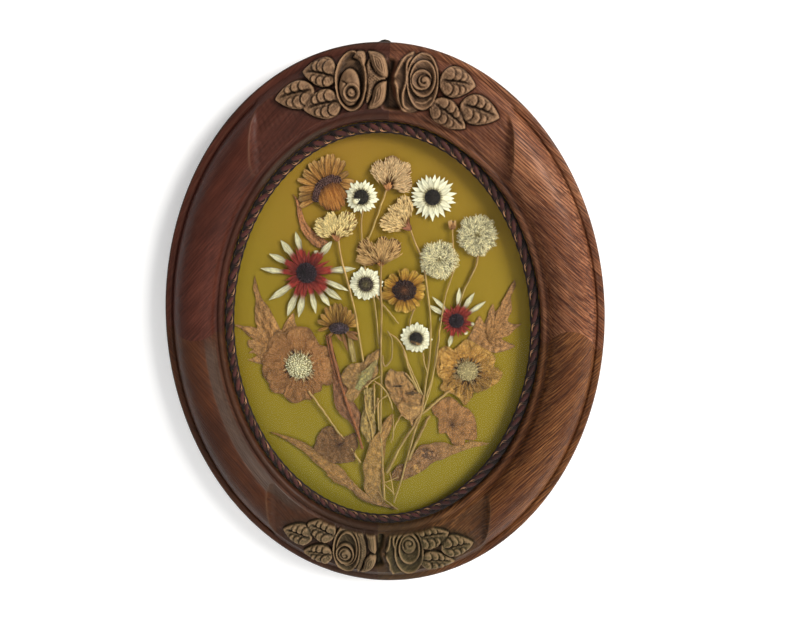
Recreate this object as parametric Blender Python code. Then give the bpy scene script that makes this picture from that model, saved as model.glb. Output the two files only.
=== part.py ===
"""Pressed flower frame: an oval carved wooden frame with dried flowers on satin under glass.

Blender 4.5 script, metres, +Z up. The frame hangs upright: +X is right seen from the front, the front
faces -Y, and the origin is the point under the wire loop where a nail carries it.
"""
import math

import bmesh
import bpy
import numpy as np

MM = 0.001

# Driving dimensions, in millimetres
OUTER_HALF_WIDTH = 154.0
OUTER_HALF_HEIGHT = 195.0
RAIL_SIDE = 43.0          # width of the rail at the sides
RAIL_TOP = 48.5           # width of the rail at the top and bottom
WALL_GAP = 2.0            # the wire holds the frame's back this far from the loop's plane
TOP_BELOW_NAIL = 0.8      # the frame's top edge under the nail's bearing point
JOINT_GAP = 0.3           # clearance kept between touching pieces
WIRE_RADIUS = 0.8
LOOP_RADIUS = 5.6
LOOP_LEG = 16.0
LOOP_STEPS = 8

# Depths in front of the frame's back
BOARD_BACK = 1.9
BOARD_FRONT = 5.2
SATIN_BACK = 5.5
SATIN_FRONT = 6.0
LEDGE = 6.4               # step of the rebate that the board rests against
GLASS_BACK = 10.7
GLASS_FRONT = 12.7
REBATE_FRONT = 13.0
BRAID_BACK = 13.0
BRAID_FRONT = 15.2

# Widths across the rail, from the outer edge inwards
REBATE_GLASS = 38.0
REBATE_BOARD = 34.0
PANE_CLEARANCE = 0.6
BRAID_OUTER = 43.8
BRAID_WIDTH = 6.0

# Rail section from the back's outer corner over the front to the sight edge: (inwards, forwards)
SECTION = [
    (0.0, 0.0), (0.0, 12.2), (1.2, 14.4), (4.6, 14.4), (5.6, 13.4), (7.0, 15.8), (11.0, 20.6),
    (15.0, 23.5), (19.5, 25.2), (24.0, 25.8), (28.5, 25.1), (32.5, 23.2), (35.5, 20.8), (37.6, 17.8),
    (38.6, 17.2), (40.0, 17.8), (42.2, 17.3),
    (43.2, REBATE_FRONT), (REBATE_GLASS, REBATE_FRONT), (REBATE_GLASS, LEDGE),
    (REBATE_BOARD, LEDGE), (REBATE_BOARD, 0.0),
]
REBATE_POINTS = 5         # the section's last points, inside the rebate
CARVED_FROM, CARVED_TO = 4.0, 37.0    # carving lies between these widths
FIELD_DEPTH = 20.6                    # height of the ground pared away round the carving
FIELD_HALF_TOP = 86.0                 # half length of the pared field at the top
FIELD_HALF_BOTTOM = 82.0
RIGHT_JOINT_RISE, RIGHT_JOINT_SLOPE = -2.0, 1.3   # side joints slant through the thickness
LEFT_JOINT_RISE, LEFT_JOINT_SLOPE = 1.0, -0.6
JOINT_LEVEL = 15.0                    # depth at which the rise above is measured
TOP_JOINT, BOTTOM_JOINT = 5.0, 0.0    # how far right of the middle the joints between the roses lie
PLAIN_STEPS = 6                       # facets along the plain part of one board
CARVED_STEPS = 18                     # facets along the carved part
CARVED_START = 0.54                   # share of a board's length at which the carved part starts
OVAL_SIDES = 40

# The carving and the bouquet are laid out about a middle a little left of and below the oval's
LAYOUT_SCALE = 1.012
LAYOUT_SHIFT = (-0.8, -1.8)

# Layers of the bouquet, depths in front of the back
LAYERS = {"ground": 6.25, "leaf": 6.75, "stem": 7.25, "upper_stem": 7.85, "head": 8.45, "top": 8.95}
LEAF_THICK = 0.25
STEM_THICK = 0.35
PETAL_THICK = 0.25
STEM_WIDTH = 1.3

CENTRE_Z = -(OUTER_HALF_HEIGHT + TOP_BELOW_NAIL)


def clear_scene():
    for old in list(bpy.data.objects):
        bpy.data.objects.remove(old, do_unlink=True)


def make_material(name, colour, roughness, metallic=0.0, alpha=1.0):
    material = bpy.data.materials.new(name)
    material.use_nodes = True
    shader = material.node_tree.nodes["Principled BSDF"]
    shader.inputs["Base Color"].default_value = (*colour, 1.0)
    shader.inputs["Roughness"].default_value = roughness
    shader.inputs["Metallic"].default_value = metallic
    shader.inputs["Alpha"].default_value = alpha
    return material


def place(x, z, depth):
    """World point, in metres, of a point right of and above the oval's centre, in front of the back."""
    return (x * MM, -(WALL_GAP + depth) * MM, (CENTRE_Z + z) * MM)


def add_mesh(name, points, faces, material):
    """points are (x, z, depth) in millimetres about the oval's centre."""
    mesh = bpy.data.meshes.new(name)
    mesh.from_pydata([place(*p) for p in points], [], faces)
    mesh.materials.append(material)
    bm = bmesh.new()
    bm.from_mesh(mesh)
    bmesh.ops.triangulate(bm, faces=[f for f in bm.faces if len(f.verts) > 4])
    bmesh.ops.recalc_face_normals(bm, faces=bm.faces)
    bm.to_mesh(mesh)
    bm.free()
    piece = bpy.data.objects.new(name, mesh)
    bpy.context.scene.collection.objects.link(piece)
    return piece


def half_axes(inwards):
    """Half width and half height of the oval that runs this far inside the outer edge."""
    return OUTER_HALF_WIDTH - inwards, OUTER_HALF_HEIGHT - inwards * RAIL_TOP / RAIL_SIDE


# ---- carving ----

# Leaves: base, tip, half width. Roses: centre, half width, half height, side the calyx points to.
TOP_LEAVES = [
    ((-25, 178), (-51, 180), 10.0), ((-45, 160), (-68, 159), 9.0), ((-24, 160), (-51, 152), 9.0),
    ((35, 176), (62, 172), 9.5), ((50, 154), (75, 150), 9.0), ((31, 154), (55, 145), 8.0),
]
TOP_ROSES = [((-17, 170), 15.0, 17.5, 1), ((25, 171), 15.5, 18.0, -1)]
BOTTOM_LEAVES = [
    ((-26, -149), (-51, -146), 8.5), ((-49, -151), (-70, -149), 8.5), ((-29, -163), (-55, -171), 8.5),
    ((29, -148), (54, -145), 8.0), ((50, -150), (71, -149), 7.5), ((33, -161), (55, -170), 7.5),
]
BOTTOM_ROSES = [((-20, -162), 15.0, 17.0, 1), ((22, -159), 15.0, 17.5, -1)]
LEAF_RAISE = 3.6
ROSE_RAISE = 5.4
RING_SUNK = 2.2
CALYX_LENGTH, CALYX_HALF = 6.0, 9.0


def leaf_relief(x, z, base, tip, half_width):
    """Rounded pointed leaf, raised above the ground."""
    along_x, along_z = tip[0] - base[0], tip[1] - base[1]
    length = math.hypot(along_x, along_z)
    t = ((x - base[0]) * along_x + (z - base[1]) * along_z) / length ** 2
    across = abs((x - base[0]) * along_z - (z - base[1]) * along_x) / length
    if not 0.0 < t < 1.0:
        return 0.0
    edge = half_width * math.sin(math.pi * t ** 0.8) ** 0.8
    if across >= edge:
        return 0.0
    return LEAF_RAISE * math.sqrt(1.0 - (across / edge) ** 2)


def rose_relief(x, z, centre, half_width, half_height, side):
    """Rounded rose with a ring sunk round its bud, and a calyx towards the middle joint."""
    u = (x - centre[0]) / half_width
    v = (z - centre[1]) / half_height
    r = math.hypot(u, v)
    if r < 1.0:
        ring = math.exp(-((r - 0.55) / 0.16) ** 2)
        return ROSE_RAISE * (1.0 - 0.5 * r ** 4) - RING_SUNK * ring
    calyx = side * (x - centre[0]) - half_width
    if 0.0 <= calyx < CALYX_LENGTH and abs(z - centre[1]) < CALYX_HALF:
        return LEAF_RAISE
    return 0.0


def laid_out(x, z):
    """Place in the oval of a point of the layout."""
    return x * LAYOUT_SCALE + LAYOUT_SHIFT[0], z * LAYOUT_SCALE + LAYOUT_SHIFT[1]


def in_layout(x, z):
    """Point of the layout at a place in the oval."""
    return (x - LAYOUT_SHIFT[0]) / LAYOUT_SCALE, (z - LAYOUT_SHIFT[1]) / LAYOUT_SCALE


def carving(x, z):
    """Height of the carving above its ground."""
    x, z = in_layout(x, z)
    leaves, roses = (TOP_LEAVES, TOP_ROSES) if z > 0 else (BOTTOM_LEAVES, BOTTOM_ROSES)
    heights = [leaf_relief(x, z, *leaf) for leaf in leaves] + [rose_relief(x, z, *rose) for rose in roses]
    return max(heights)


def front_depth(x, z, inwards, depth):
    """Depth of the front surface: the plain section, or the pared field with its carving."""
    if not CARVED_FROM <= inwards <= CARVED_TO:
        return depth
    field = FIELD_HALF_TOP if z > 0 else FIELD_HALF_BOTTOM
    if abs(x) > field:
        return depth
    ground = min(depth, FIELD_DEPTH - 0.12 * abs(inwards - 22.0))
    return ground + carving(x, z)


# ---- frame ----

def joint_angle(inwards, depth, right, upper):
    """Angle round the oval, from +X, at which a board meets the side joint."""
    rise, slope = (RIGHT_JOINT_RISE, RIGHT_JOINT_SLOPE) if right else (LEFT_JOINT_RISE, LEFT_JOINT_SLOPE)
    z = rise + slope * (depth - JOINT_LEVEL) + (JOINT_GAP / 2 if upper else -JOINT_GAP / 2)
    return math.asin(z / half_axes(inwards)[1])


def mid_angle(inwards, right, upper):
    """Angle, from level on the board's own side, at which it meets the top or bottom joint."""
    joint = TOP_JOINT if upper else BOTTOM_JOINT
    reach = JOINT_GAP / 2 + (joint if right else -joint)
    return math.acos(reach / half_axes(inwards)[0])


def board_columns():
    """Fractions along a board, coarse where it is plain and fine where it is carved."""
    plain = np.linspace(0.0, CARVED_START, PLAIN_STEPS + 1)
    carved = np.linspace(CARVED_START, 1.0, CARVED_STEPS + 1)
    return list(plain) + list(carved[1:])


def make_board(name, right, upper, material):
    points, faces = [], []
    rows = len(SECTION)
    columns = board_columns()
    for t in columns:
        for k, (inwards, depth) in enumerate(SECTION):
            start = joint_angle(inwards, depth, right, upper)
            end = mid_angle(inwards, right, upper) * (1 if upper else -1)
            angle = start + (end - start) * t
            half_x, half_z = half_axes(inwards)
            x = half_x * math.cos(angle) * (1 if right else -1)
            z = half_z * math.sin(angle)
            on_front = 0 < k < rows - REBATE_POINTS
            points.append((x, z, front_depth(x, z, inwards, depth) if on_front else depth))
    for c in range(len(columns) - 1):
        for k in range(rows):
            n = (k + 1) % rows
            faces.append((c * rows + k, c * rows + n, (c + 1) * rows + n, (c + 1) * rows + k))
    faces.append(tuple(range(rows)))
    last = (len(columns) - 1) * rows
    faces.append(tuple(last + k for k in reversed(range(rows))))
    return add_mesh(name, points, faces, material)


# ---- flat ovals, braid and wire ----

def oval_points(inwards, sides=OVAL_SIDES):
    half_x, half_z = half_axes(inwards)
    turns = [2 * math.pi * i / sides for i in range(sides)]
    return [(half_x * math.cos(a), half_z * math.sin(a)) for a in turns]


def make_plate(name, outline, back, front, material):
    """Flat piece of one outline between two depths."""
    n = len(outline)
    points = [(x, z, back) for x, z in outline] + [(x, z, front) for x, z in outline]
    faces = [(i, (i + 1) % n, n + (i + 1) % n, n + i) for i in range(n)]
    faces += [tuple(range(n)), tuple(range(n, 2 * n))]
    return add_mesh(name, points, faces, material)


def make_braid(material):
    """Flattened ring lying on the glass inside the sight edge."""
    middle = (BRAID_BACK + BRAID_FRONT) / 2
    half = BRAID_WIDTH / 2
    section = [(-half, middle), (-half * 0.6, BRAID_FRONT), (half * 0.6, BRAID_FRONT),
               (half, middle), (half * 0.6, BRAID_BACK), (-half * 0.6, BRAID_BACK)]
    points, faces = [], []
    for offset, depth in section:
        ring = oval_points(BRAID_OUTER + half + offset)
        points += [(x, z, depth) for x, z in ring]
    for k in range(len(section)):
        n = (k + 1) % len(section)
        for i in range(OVAL_SIDES):
            j = (i + 1) % OVAL_SIDES
            faces.append((k * OVAL_SIDES + i, k * OVAL_SIDES + j, n * OVAL_SIDES + j, n * OVAL_SIDES + i))
    return add_mesh("braid", points, faces, material)


def make_loop(material):
    """Bent wire: an arch over the top edge, two legs down the back and ends turned into the wood."""
    arch_z = WIRE_RADIUS - LOOP_RADIUS
    foot = arch_z - LOOP_LEG
    reach = WALL_GAP - JOINT_GAP
    leg = [(-reach, foot), (-WIRE_RADIUS, foot), (0.0, foot + WIRE_RADIUS)]
    arch = [math.pi * (1 - i / LOOP_STEPS) for i in range(LOOP_STEPS + 1)]
    path = [(-LOOP_RADIUS, y, z) for y, z in leg]
    path += [(LOOP_RADIUS * math.cos(a), 0.0, arch_z + LOOP_RADIUS * math.sin(a)) for a in arch]
    path += [(LOOP_RADIUS, y, z) for y, z in reversed(leg)]
    curve = bpy.data.curves.new("hanging_loop", "CURVE")
    curve.dimensions = "3D"
    curve.bevel_depth = WIRE_RADIUS * MM
    curve.bevel_resolution = 2
    curve.use_fill_caps = True
    spline = curve.splines.new("POLY")
    spline.points.add(len(path) - 1)
    for point, (x, y, z) in zip(spline.points, path):
        point.co = (x * MM, y * MM, z * MM, 1.0)
    curve.materials.append(material)
    loop = bpy.data.objects.new("hanging_loop", curve)
    bpy.context.scene.collection.objects.link(loop)
    return loop


# ---- the bouquet ----
# Places are millimetres right of and above the oval's centre.

# Daisies: centre, petal reach, petals, disc radius, notch as a share of the reach, petal tip as a share
# of the pitch, layer, first petal's angle in degrees, colour
DAISIES = {
    "ochre_daisy": ((-35, 104), 19.5, 13, 5.5, 0.5, 0.5, "head", 8, "ochre"),
    "small_white_daisy": ((-13, 96.5), 10.4, 12, 4.8, 0.72, 0.5, "top", 0, "white"),
    "large_white_daisy": ((34.5, 97.5), 14.0, 13, 5.2, 0.66, 0.3, "top", 5, "white"),
    "middle_white_daisy": ((-9.8, 37), 11.0, 13, 4.9, 0.8, 0.5, "top", 0, "white"),
    "lower_white_daisy": ((25.5, -0.5), 10.4, 13, 4.7, 0.8, 0.5, "head", 10, "white"),
    "golden_daisy": ((17, 34), 14.6, 11, 7.6, 0.62, 0.6, "head", 20, "gold"),
    "folded_daisy": ((-28.5, 6), 13.6, 12, 4.6, 0.45, 0.4, "head", 12, "ochre"),
    "papery_flower_left": ((-58, -23), 24.5, 9, 11.5, 0.82, 0.8, "head", 15, "papery"),
    "papery_flower_right": ((63, -21), 21.0, 9, 9.5, 0.8, 0.8, "head", 0, "papery_gold"),
}
# Red daisies: centre, disc radius, red radius, layer, petal tips
RED_DAISIES = {
    "red_daisy_left": ((-51, 43.5), 7.5, 15.0, [
        (-19, 47), (-33, 64), (-45, 57), (-57, 71), (-68, 65), (-76, 55.5), (-84, 43), (-76, 22),
        (-66, 12), (-55, 12), (-43, 14.5), (-34, 21), (-28, 24), (-22, 33)]),
    "red_daisy_right": ((53, 14), 5.4, 9.0, [
        (72, 26), (63, 35), (55, 36), (37, 30), (35, 22), (43, 6), (49, 0), (60, 5), (67, 12)]),
}
# Tufted heads: centre, half width, half height, locks, layer, colour
TUFTS = {
    "tan_tuft_top": ((7, 112), 14.5, 11.0, 12, "head", "tan"),
    "cream_tuft_left": ((-30, 79), 13.6, 11.6, 12, "top", "cream"),
    "cream_tuft_right": ((12.5, 86), 12.4, 11.6, 12, "head", "cream"),
    "tan_tuft_middle": ((0, 62), 14.4, 12.0, 12, "head", "tan"),
    "pale_puff_middle": ((40, 55.5), 13.8, 13.6, 13, "head", "pale"),
    "pale_puff_right": ((65, 71.5), 13.0, 13.0, 13, "head", "pale"),
    "small_bud": ((48.5, 80), 3.4, 3.6, 6, "head", "tan"),
}
# Lobed leaves and faded blooms: heart, lobes as (tip, half width), layer
LOBED = {
    "lobed_leaf_left": ((-66, -6), [
        ((-61, 15), 5.0), ((-72, 14), 4.0), ((-89, 39), 6.0), ((-104, 3), 4.5), ((-96, -10), 4.0),
        ((-94, -22), 4.0), ((-58, -18), 5.0)], "ground"),
    "lobed_leaf_right": ((73, 1), [
        ((93, -4), 4.5), ((91, 7), 4.0), ((89, 15), 4.0), ((91, 43), 5.5), ((78, 25), 4.0), ((66, 8), 4.0),
        ((70, -6), 3.5)], "ground"),
    "twisted_leaf": ((-13, -32), [
        ((-2, -24), 4.5), ((-12, -17), 4.0), ((-24, -24), 4.5), ((-23, -40), 4.5), ((-12, -48), 5.0),
        ((-3, -40), 4.0)], "head"),
    "broad_leaf": ((22, -46), [
        ((35, -42), 5.0), ((21, -33), 5.0), ((10, -25), 6.0), ((12, -46), 4.0), ((25, -62), 6.0),
        ((35, -54), 4.5)], "head"),
    "faded_bloom_left": ((-29, -83), [
        ((-13, -81), 6.0), ((-18, -72), 5.0), ((-31, -70), 6.0), ((-43, -73), 5.0), ((-47, -86), 6.5),
        ((-37, -96), 5.0), ((-26, -99), 5.0), ((-17, -93), 5.0)], "ground"),
    "faded_bloom_right": ((56, -63), [
        ((71, -62), 6.5), ((66, -48), 6.5), ((50, -46), 6.0), ((40, -56), 5.5), ((44, -70), 5.5),
        ((55, -78), 5.5), ((68, -75), 6.0)], "ground"),
}
# Long leaves: points from base to tip, half width at the widest, layer
BLADES = {
    "curved_leaf": ([(-35, 65), (-44, 66), (-52, 73), (-57, 84), (-60, 97)], 3.2, "ground"),
    "centre_leaf": ([(5, -131), (-2, -118), (-3, -98), (-5, -78), (-9, -60), (-11, -50)], 7.5, "head"),
    "strap_leaf": ([(-12, -89), (-20, -66), (-28, -44), (-32, -24), (-36, -3)], 4.0, "leaf"),
    "long_leaf_left": ([(12, -132), (-6, -123), (-20, -113), (-34, -100), (-52, -87), (-78, -78)], 4.4, "leaf"),
    "long_leaf_right": ([(9, -113), (22, -104), (40, -90), (60, -81), (79, -77)], 4.6, "leaf"),
}
# Stems from head to foot, layer
STEMS = {
    "stem_cream": ([(-30, 72), (-26, 54), (-19, 22), (-13, -8), (-6, -48), (0, -98), (5, -130)], "stem"),
    "stem_papery_left": ([(-50, -44), (-33, -70), (-14, -96), (-2, -117)], "stem"),
    "stem_small_white": ([(-13, 92), (-13, 73), (-11, 50), (-7, 20), (-3, -4)], "upper_stem"),
    "stem_tan_top": ([(5, 104), (-2, 85), (-7, 68), (-10, 54)], "stem"),
    "stem_cream_right": ([(17, 78), (27, 54), (33, 32), (34, 5), (30, -38)], "stem"),
    "stem_puff_right": ([(67, 62), (62, 43), (57, 30), (53, 18)], "stem"),
    "stem_bud": ([(48, 77), (50, 52), (45, 30), (40, -8), (36, -38), (31, -56)], "upper_stem"),
    "stem_tan_middle": ([(0, 52), (1, 20), (1, -32), (2, -74), (5, -104), (8, -130)], "upper_stem"),
    "stem_middle_white": ([(-2, 30), (4, 20), (11, 10), (12, -8), (15, -30)], "stem"),
    "stem_golden": ([(20, 20), (18, 2), (21, -14), (27, -34)], "upper_stem"),
    "stem_papery_right": ([(50, -38), (30, -56), (17, -82), (8, -104)], "stem"),
    "stem_thin": ([(28, -66), (23, -88), (15, -124)], "stem"),
}
DISC_RISE = 0.9
TUFT_RISE = 1.1
TUFT_CORE = 0.62          # share of a tuft that is raised


def make_flower(name, centre, rings, petals, back, rise, material):
    """One closed solid: flat petals round a raised disc.

    petals holds (notch, [outer points]) for each petal in turn, rings the disc's radii as (x, z) pairs.
    """
    n = len(petals)
    outline, first = [], []
    for notch, outer in petals:
        first.append(len(outline))
        outline += [notch] + outer
    m = len(outline)
    front = back + PETAL_THICK
    points = [(x, z, back) for x, z in outline] + [(x, z, front) for x, z in outline]
    (half_x, half_z), top_share = rings
    for share, depth in ((1.0, front), (top_share, front + rise)):
        for notch, _ in petals:
            angle = math.atan2(notch[1] - centre[1], notch[0] - centre[0])
            points.append((centre[0] + share * half_x * math.cos(angle),
                           centre[1] + share * half_z * math.sin(angle), depth))
    points = [(*laid_out(x, z), depth) for x, z, depth in points]
    base, top = 2 * m, 2 * m + n
    faces = [tuple(range(m)), tuple(range(top, top + n))]
    faces += [(i, (i + 1) % m, m + (i + 1) % m, m + i) for i in range(m)]
    for p in range(n):
        q = (p + 1) % n
        stop = first[q] if q else m
        rim = [m + i for i in range(first[p], stop)] + [m + first[q]]
        faces.append((base + p, *rim, base + q))
        faces.append((base + p, base + q, top + q, top + p))
    return add_mesh(name, points, faces, material)


def polar(centre, reach_x, reach_z, angle):
    return centre[0] + reach_x * math.cos(angle), centre[1] + reach_z * math.sin(angle)


def make_daisy(name, centre, reach, count, disc, notch, tip, layer, first_angle, material):
    pitch = 2 * math.pi / count
    petals = []
    for i in range(count):
        angle = math.radians(first_angle) + i * pitch
        long = reach * (1.0 - 0.06 * (i % 3 == 1))
        half = pitch * tip / 2
        outer = [polar(centre, long, long, angle + s * half) for s in (-1, 1)]
        petals.append((polar(centre, reach * notch, reach * notch, angle - pitch / 2), outer))
    return make_flower(name, centre, ((disc, disc), 0.7), petals, LAYERS[layer], DISC_RISE, material)


def by_angle(centre, tips):
    return sorted(tips, key=lambda tip: math.atan2(tip[1] - centre[1], tip[0] - centre[0]))


def make_red_daisy(name, centre, disc, red, tips, material):
    tips = by_angle(centre, tips)
    angles = [math.atan2(z - centre[1], x - centre[0]) for x, z in tips]
    petals = []
    for i, (x, z) in enumerate(tips):
        gap = (angles[i] - angles[i - 1]) % (2 * math.pi)
        notch = polar(centre, red * 0.75, red * 0.75, angles[i] - gap / 2)
        shoulder = min(gap, (angles[(i + 1) % len(tips)] - angles[i]) % (2 * math.pi), 0.45) * 0.4
        sides = [polar(centre, red * 1.1, red * 1.1, angles[i] + s * shoulder) for s in (-1, 1)]
        petals.append((notch, [sides[0], (x, z), sides[1]]))
    return make_flower(name, centre, ((disc, disc), 0.7), petals, LAYERS["top"], DISC_RISE, material)


def make_tuft(name, centre, half_x, half_z, count, layer, material):
    """Tufted head: a raised middle in a fringe of pointed locks."""
    pitch = 2 * math.pi / count
    petals = []
    for i in range(count):
        angle = i * pitch
        long = 1.0 - 0.08 * (i % 2)
        notch = polar(centre, half_x * 0.84, half_z * 0.84, angle - pitch / 2)
        petals.append((notch, [polar(centre, half_x * long, half_z * long, angle)]))
    core = (half_x * TUFT_CORE, half_z * TUFT_CORE)
    return make_flower(name, centre, (core, 0.6), petals, LAYERS[layer], TUFT_RISE, material)


def make_flat(name, outline, layer, thick, material):
    """Flat piece of the bouquet, pressed in its layer."""
    back = LAYERS[layer]
    return make_plate(name, [laid_out(x, z) for x, z in outline], back, back + thick, material)


def make_lobed(name, heart, lobes, layer, material):
    """Flat leaf of pointed lobes round its heart."""
    ordered = sorted(lobes, key=lambda lobe: math.atan2(lobe[0][1] - heart[1], lobe[0][0] - heart[0]))
    angles = [math.atan2(tip[1] - heart[1], tip[0] - heart[0]) for tip, _ in ordered]
    outline = []
    for i, (tip, half_width) in enumerate(ordered):
        gap = (angles[i] - angles[i - 1]) % (2 * math.pi)
        length = math.dist(tip, heart)
        before = math.dist(ordered[i - 1][0], heart)
        notch = 0.5 * min(length, before)
        outline.append(polar(heart, notch, notch, angles[i] - gap / 2))
        reach = max(0.62 * length, notch)
        spread = min(math.atan2(half_width, reach), gap * 0.4)
        after = (angles[(i + 1) % len(ordered)] - angles[i]) % (2 * math.pi)
        outline.append(polar(heart, reach, reach, angles[i] - spread))
        outline.append(tip)
        outline.append(polar(heart, reach, reach, angles[i] + min(spread, after * 0.4)))
    return make_flat(name, outline, layer, LEAF_THICK, material)


def ribbon(path, widths):
    """Outline of a strip along a path, with its half width at each point."""
    left, right = [], []
    for i, (x, z) in enumerate(path):
        before, after = path[max(i - 1, 0)], path[min(i + 1, len(path) - 1)]
        along = math.dist(before, after)
        nx, nz = -(after[1] - before[1]) / along, (after[0] - before[0]) / along
        left.append((x + nx * widths[i], z + nz * widths[i]))
        right.append((x - nx * widths[i], z - nz * widths[i]))
    return left + right[::-1]


def make_blade(name, path, half_width, layer, material):
    last = len(path) - 1
    widths = [half_width * max(0.12, math.sin(math.pi * (0.12 + 0.86 * i / last))) for i in range(last + 1)]
    return make_flat(name, ribbon(path, widths), layer, LEAF_THICK, material)


def make_stem(name, path, layer, material):
    widths = [STEM_WIDTH / 2] * len(path)
    return make_flat(name, ribbon(path, widths), layer, STEM_THICK, material)


def make_frame(wood, pale_wood):
    make_board("frame_upper_left", False, True, wood)
    make_board("frame_upper_right", True, True, wood)
    make_board("frame_lower_left", False, False, wood)
    make_board("frame_lower_right", True, False, wood)
    make_plate("backing_board", oval_points(REBATE_BOARD + PANE_CLEARANCE), BOARD_BACK, BOARD_FRONT, pale_wood)


def make_bouquet(colours):
    for name, (centre, reach, count, disc, notch, tip, layer, turn, colour) in DAISIES.items():
        make_daisy(name, centre, reach, count, disc, notch, tip, layer, turn, colours[colour])
    for name, (centre, disc, red, tips) in RED_DAISIES.items():
        make_red_daisy(name, centre, disc, red, tips, colours["red"])
    for name, (centre, half_x, half_z, count, layer, colour) in TUFTS.items():
        make_tuft(name, centre, half_x, half_z, count, layer, colours[colour])
    for name, (heart, lobes, layer) in LOBED.items():
        make_lobed(name, heart, lobes, layer, colours["leaf"])
    for name, (path, half_width, layer) in BLADES.items():
        make_blade(name, path, half_width, layer, colours["leaf"])
    for name, (path, layer) in STEMS.items():
        make_stem(name, path, layer, colours["straw"])


def main():
    clear_scene()
    wood = make_material("stained_wood", (0.16, 0.065, 0.04), 0.45)
    board = make_material("hardboard", (0.25, 0.15, 0.08), 0.8)
    satin = make_material("satin", (0.34, 0.24, 0.06), 0.5)
    glass = make_material("glass", (0.9, 0.95, 0.92), 0.03, alpha=0.2)
    braid = make_material("plum_braid", (0.09, 0.03, 0.035), 0.7)
    wire = make_material("dark_wire", (0.08, 0.07, 0.06), 0.45, metallic=1.0)
    colours = {
        "ochre": make_material("ochre_petals", (0.42, 0.24, 0.07), 0.7),
        "white": make_material("white_petals", (0.8, 0.78, 0.66), 0.6),
        "gold": make_material("golden_petals", (0.5, 0.3, 0.07), 0.7),
        "papery": make_material("papery_petals", (0.33, 0.19, 0.09), 0.75),
        "papery_gold": make_material("papery_gold_petals", (0.45, 0.29, 0.1), 0.75),
        "red": make_material("red_petals", (0.3, 0.06, 0.05), 0.7),
        "tan": make_material("tan_tuft", (0.5, 0.34, 0.17), 0.8),
        "cream": make_material("cream_tuft", (0.68, 0.54, 0.28), 0.8),
        "pale": make_material("pale_tuft", (0.62, 0.55, 0.38), 0.8),
        "leaf": make_material("dry_leaf", (0.3, 0.19, 0.09), 0.75),
        "straw": make_material("straw", (0.55, 0.44, 0.2), 0.6),
    }
    make_frame(wood, board)
    satin_outline = oval_points(REBATE_BOARD + PANE_CLEARANCE)
    make_plate("satin_ground", satin_outline, SATIN_BACK, SATIN_FRONT, satin)
    make_plate("glass", oval_points(REBATE_GLASS + PANE_CLEARANCE), GLASS_BACK, GLASS_FRONT, glass)
    make_braid(braid)
    make_loop(wire)
    make_bouquet(colours)


main()
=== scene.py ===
"""Pressed flower frame: how it looks. Carved oval frame, braid, glass, satin and the dried bouquet.

Places are millimetres right of and above the oval's centre, and depths are millimetres in front of the
frame's back, as in the part's source. place() turns them into metres.
"""
import math

import bmesh
import bpy
import numpy as np
from mathutils import Matrix, Vector


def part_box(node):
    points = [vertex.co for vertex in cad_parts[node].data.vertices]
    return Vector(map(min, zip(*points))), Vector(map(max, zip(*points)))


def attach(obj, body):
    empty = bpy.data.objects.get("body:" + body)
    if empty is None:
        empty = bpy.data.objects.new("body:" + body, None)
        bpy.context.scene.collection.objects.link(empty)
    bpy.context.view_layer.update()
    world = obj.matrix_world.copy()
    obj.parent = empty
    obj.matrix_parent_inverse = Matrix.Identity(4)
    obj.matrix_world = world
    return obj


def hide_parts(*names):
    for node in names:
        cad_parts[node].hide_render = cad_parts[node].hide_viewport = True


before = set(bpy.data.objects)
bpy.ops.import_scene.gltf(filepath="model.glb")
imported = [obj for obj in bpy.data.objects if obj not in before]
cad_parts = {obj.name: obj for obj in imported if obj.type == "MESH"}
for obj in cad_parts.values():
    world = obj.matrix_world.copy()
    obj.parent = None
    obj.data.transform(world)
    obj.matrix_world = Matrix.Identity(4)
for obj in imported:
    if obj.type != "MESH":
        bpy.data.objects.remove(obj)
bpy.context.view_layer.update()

MM = 0.001

# The oval and its rail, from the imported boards
BOARDS = ("frame_upper_left", "frame_upper_right", "frame_lower_left", "frame_lower_right")
BOARD_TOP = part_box("frame_upper_left")[1][2] / MM
BOARD_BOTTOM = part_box("frame_lower_left")[0][2] / MM
BACK_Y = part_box("frame_upper_left")[1][1] / MM
CENTRE_Z = (BOARD_TOP + BOARD_BOTTOM) / 2
OUTER_HALF_HEIGHT = (BOARD_TOP - BOARD_BOTTOM) / 2
OUTER_HALF_WIDTH = 154.0
RAIL_SIDE = 43.0
RAIL_TOP = 48.5
JOINT_GAP = 0.03
TOP_JOINT, BOTTOM_JOINT = 5.0, 0.0    # how far right of the middle the joints between the roses lie

# Rail section over the front, from the outer edge's front corner to the sight edge: (inwards, forwards)
FRONT = [
    (0.0, 12.2), (0.3, 13.7), (1.4, 14.4), (3.0, 14.5), (4.6, 14.3), (5.6, 13.4), (6.6, 15.2), (8.4, 17.9),
    (11.0, 20.6), (15.0, 23.5), (19.5, 25.2), (24.0, 25.7), (28.5, 25.1), (32.5, 23.2), (35.5, 20.8),
    (37.6, 17.8), (38.6, 17.2), (40.0, 17.8), (41.6, 17.6), (42.6, 16.4), (43.2, 13.0),
]
REBATE = [(38.0, 13.0), (38.0, 6.4), (34.0, 6.4), (34.0, 0.0), (0.0, 0.0), (0.0, 6.0)]
ROW_STEP = 0.5            # between the front's points, and so between a board's rows
CARVED_FROM, CARVED_TO = 3.2, 37.0
FIELD_DEPTH = 20.6        # the pared field that the carving stands on
FIELD_HALF_TOP, FIELD_HALF_BOTTOM = 86.0, 82.0
SCOOP = 0.16              # how steeply the pared field's ends rise
OUTER_BEAD, OUTER_GROOVE = 4.6, 9.0   # the cove between these widths is filled beside the carving
BEAD_DEPTH, COVE_SLOPE = 14.4, 0.95
HIGHEST = 25.75           # the rail's crown, which no carving passes
RIGHT_JOINT_RISE, RIGHT_JOINT_SLOPE = -2.0, 1.3
LEFT_JOINT_RISE, LEFT_JOINT_SLOPE = 1.0, -0.6
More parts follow.
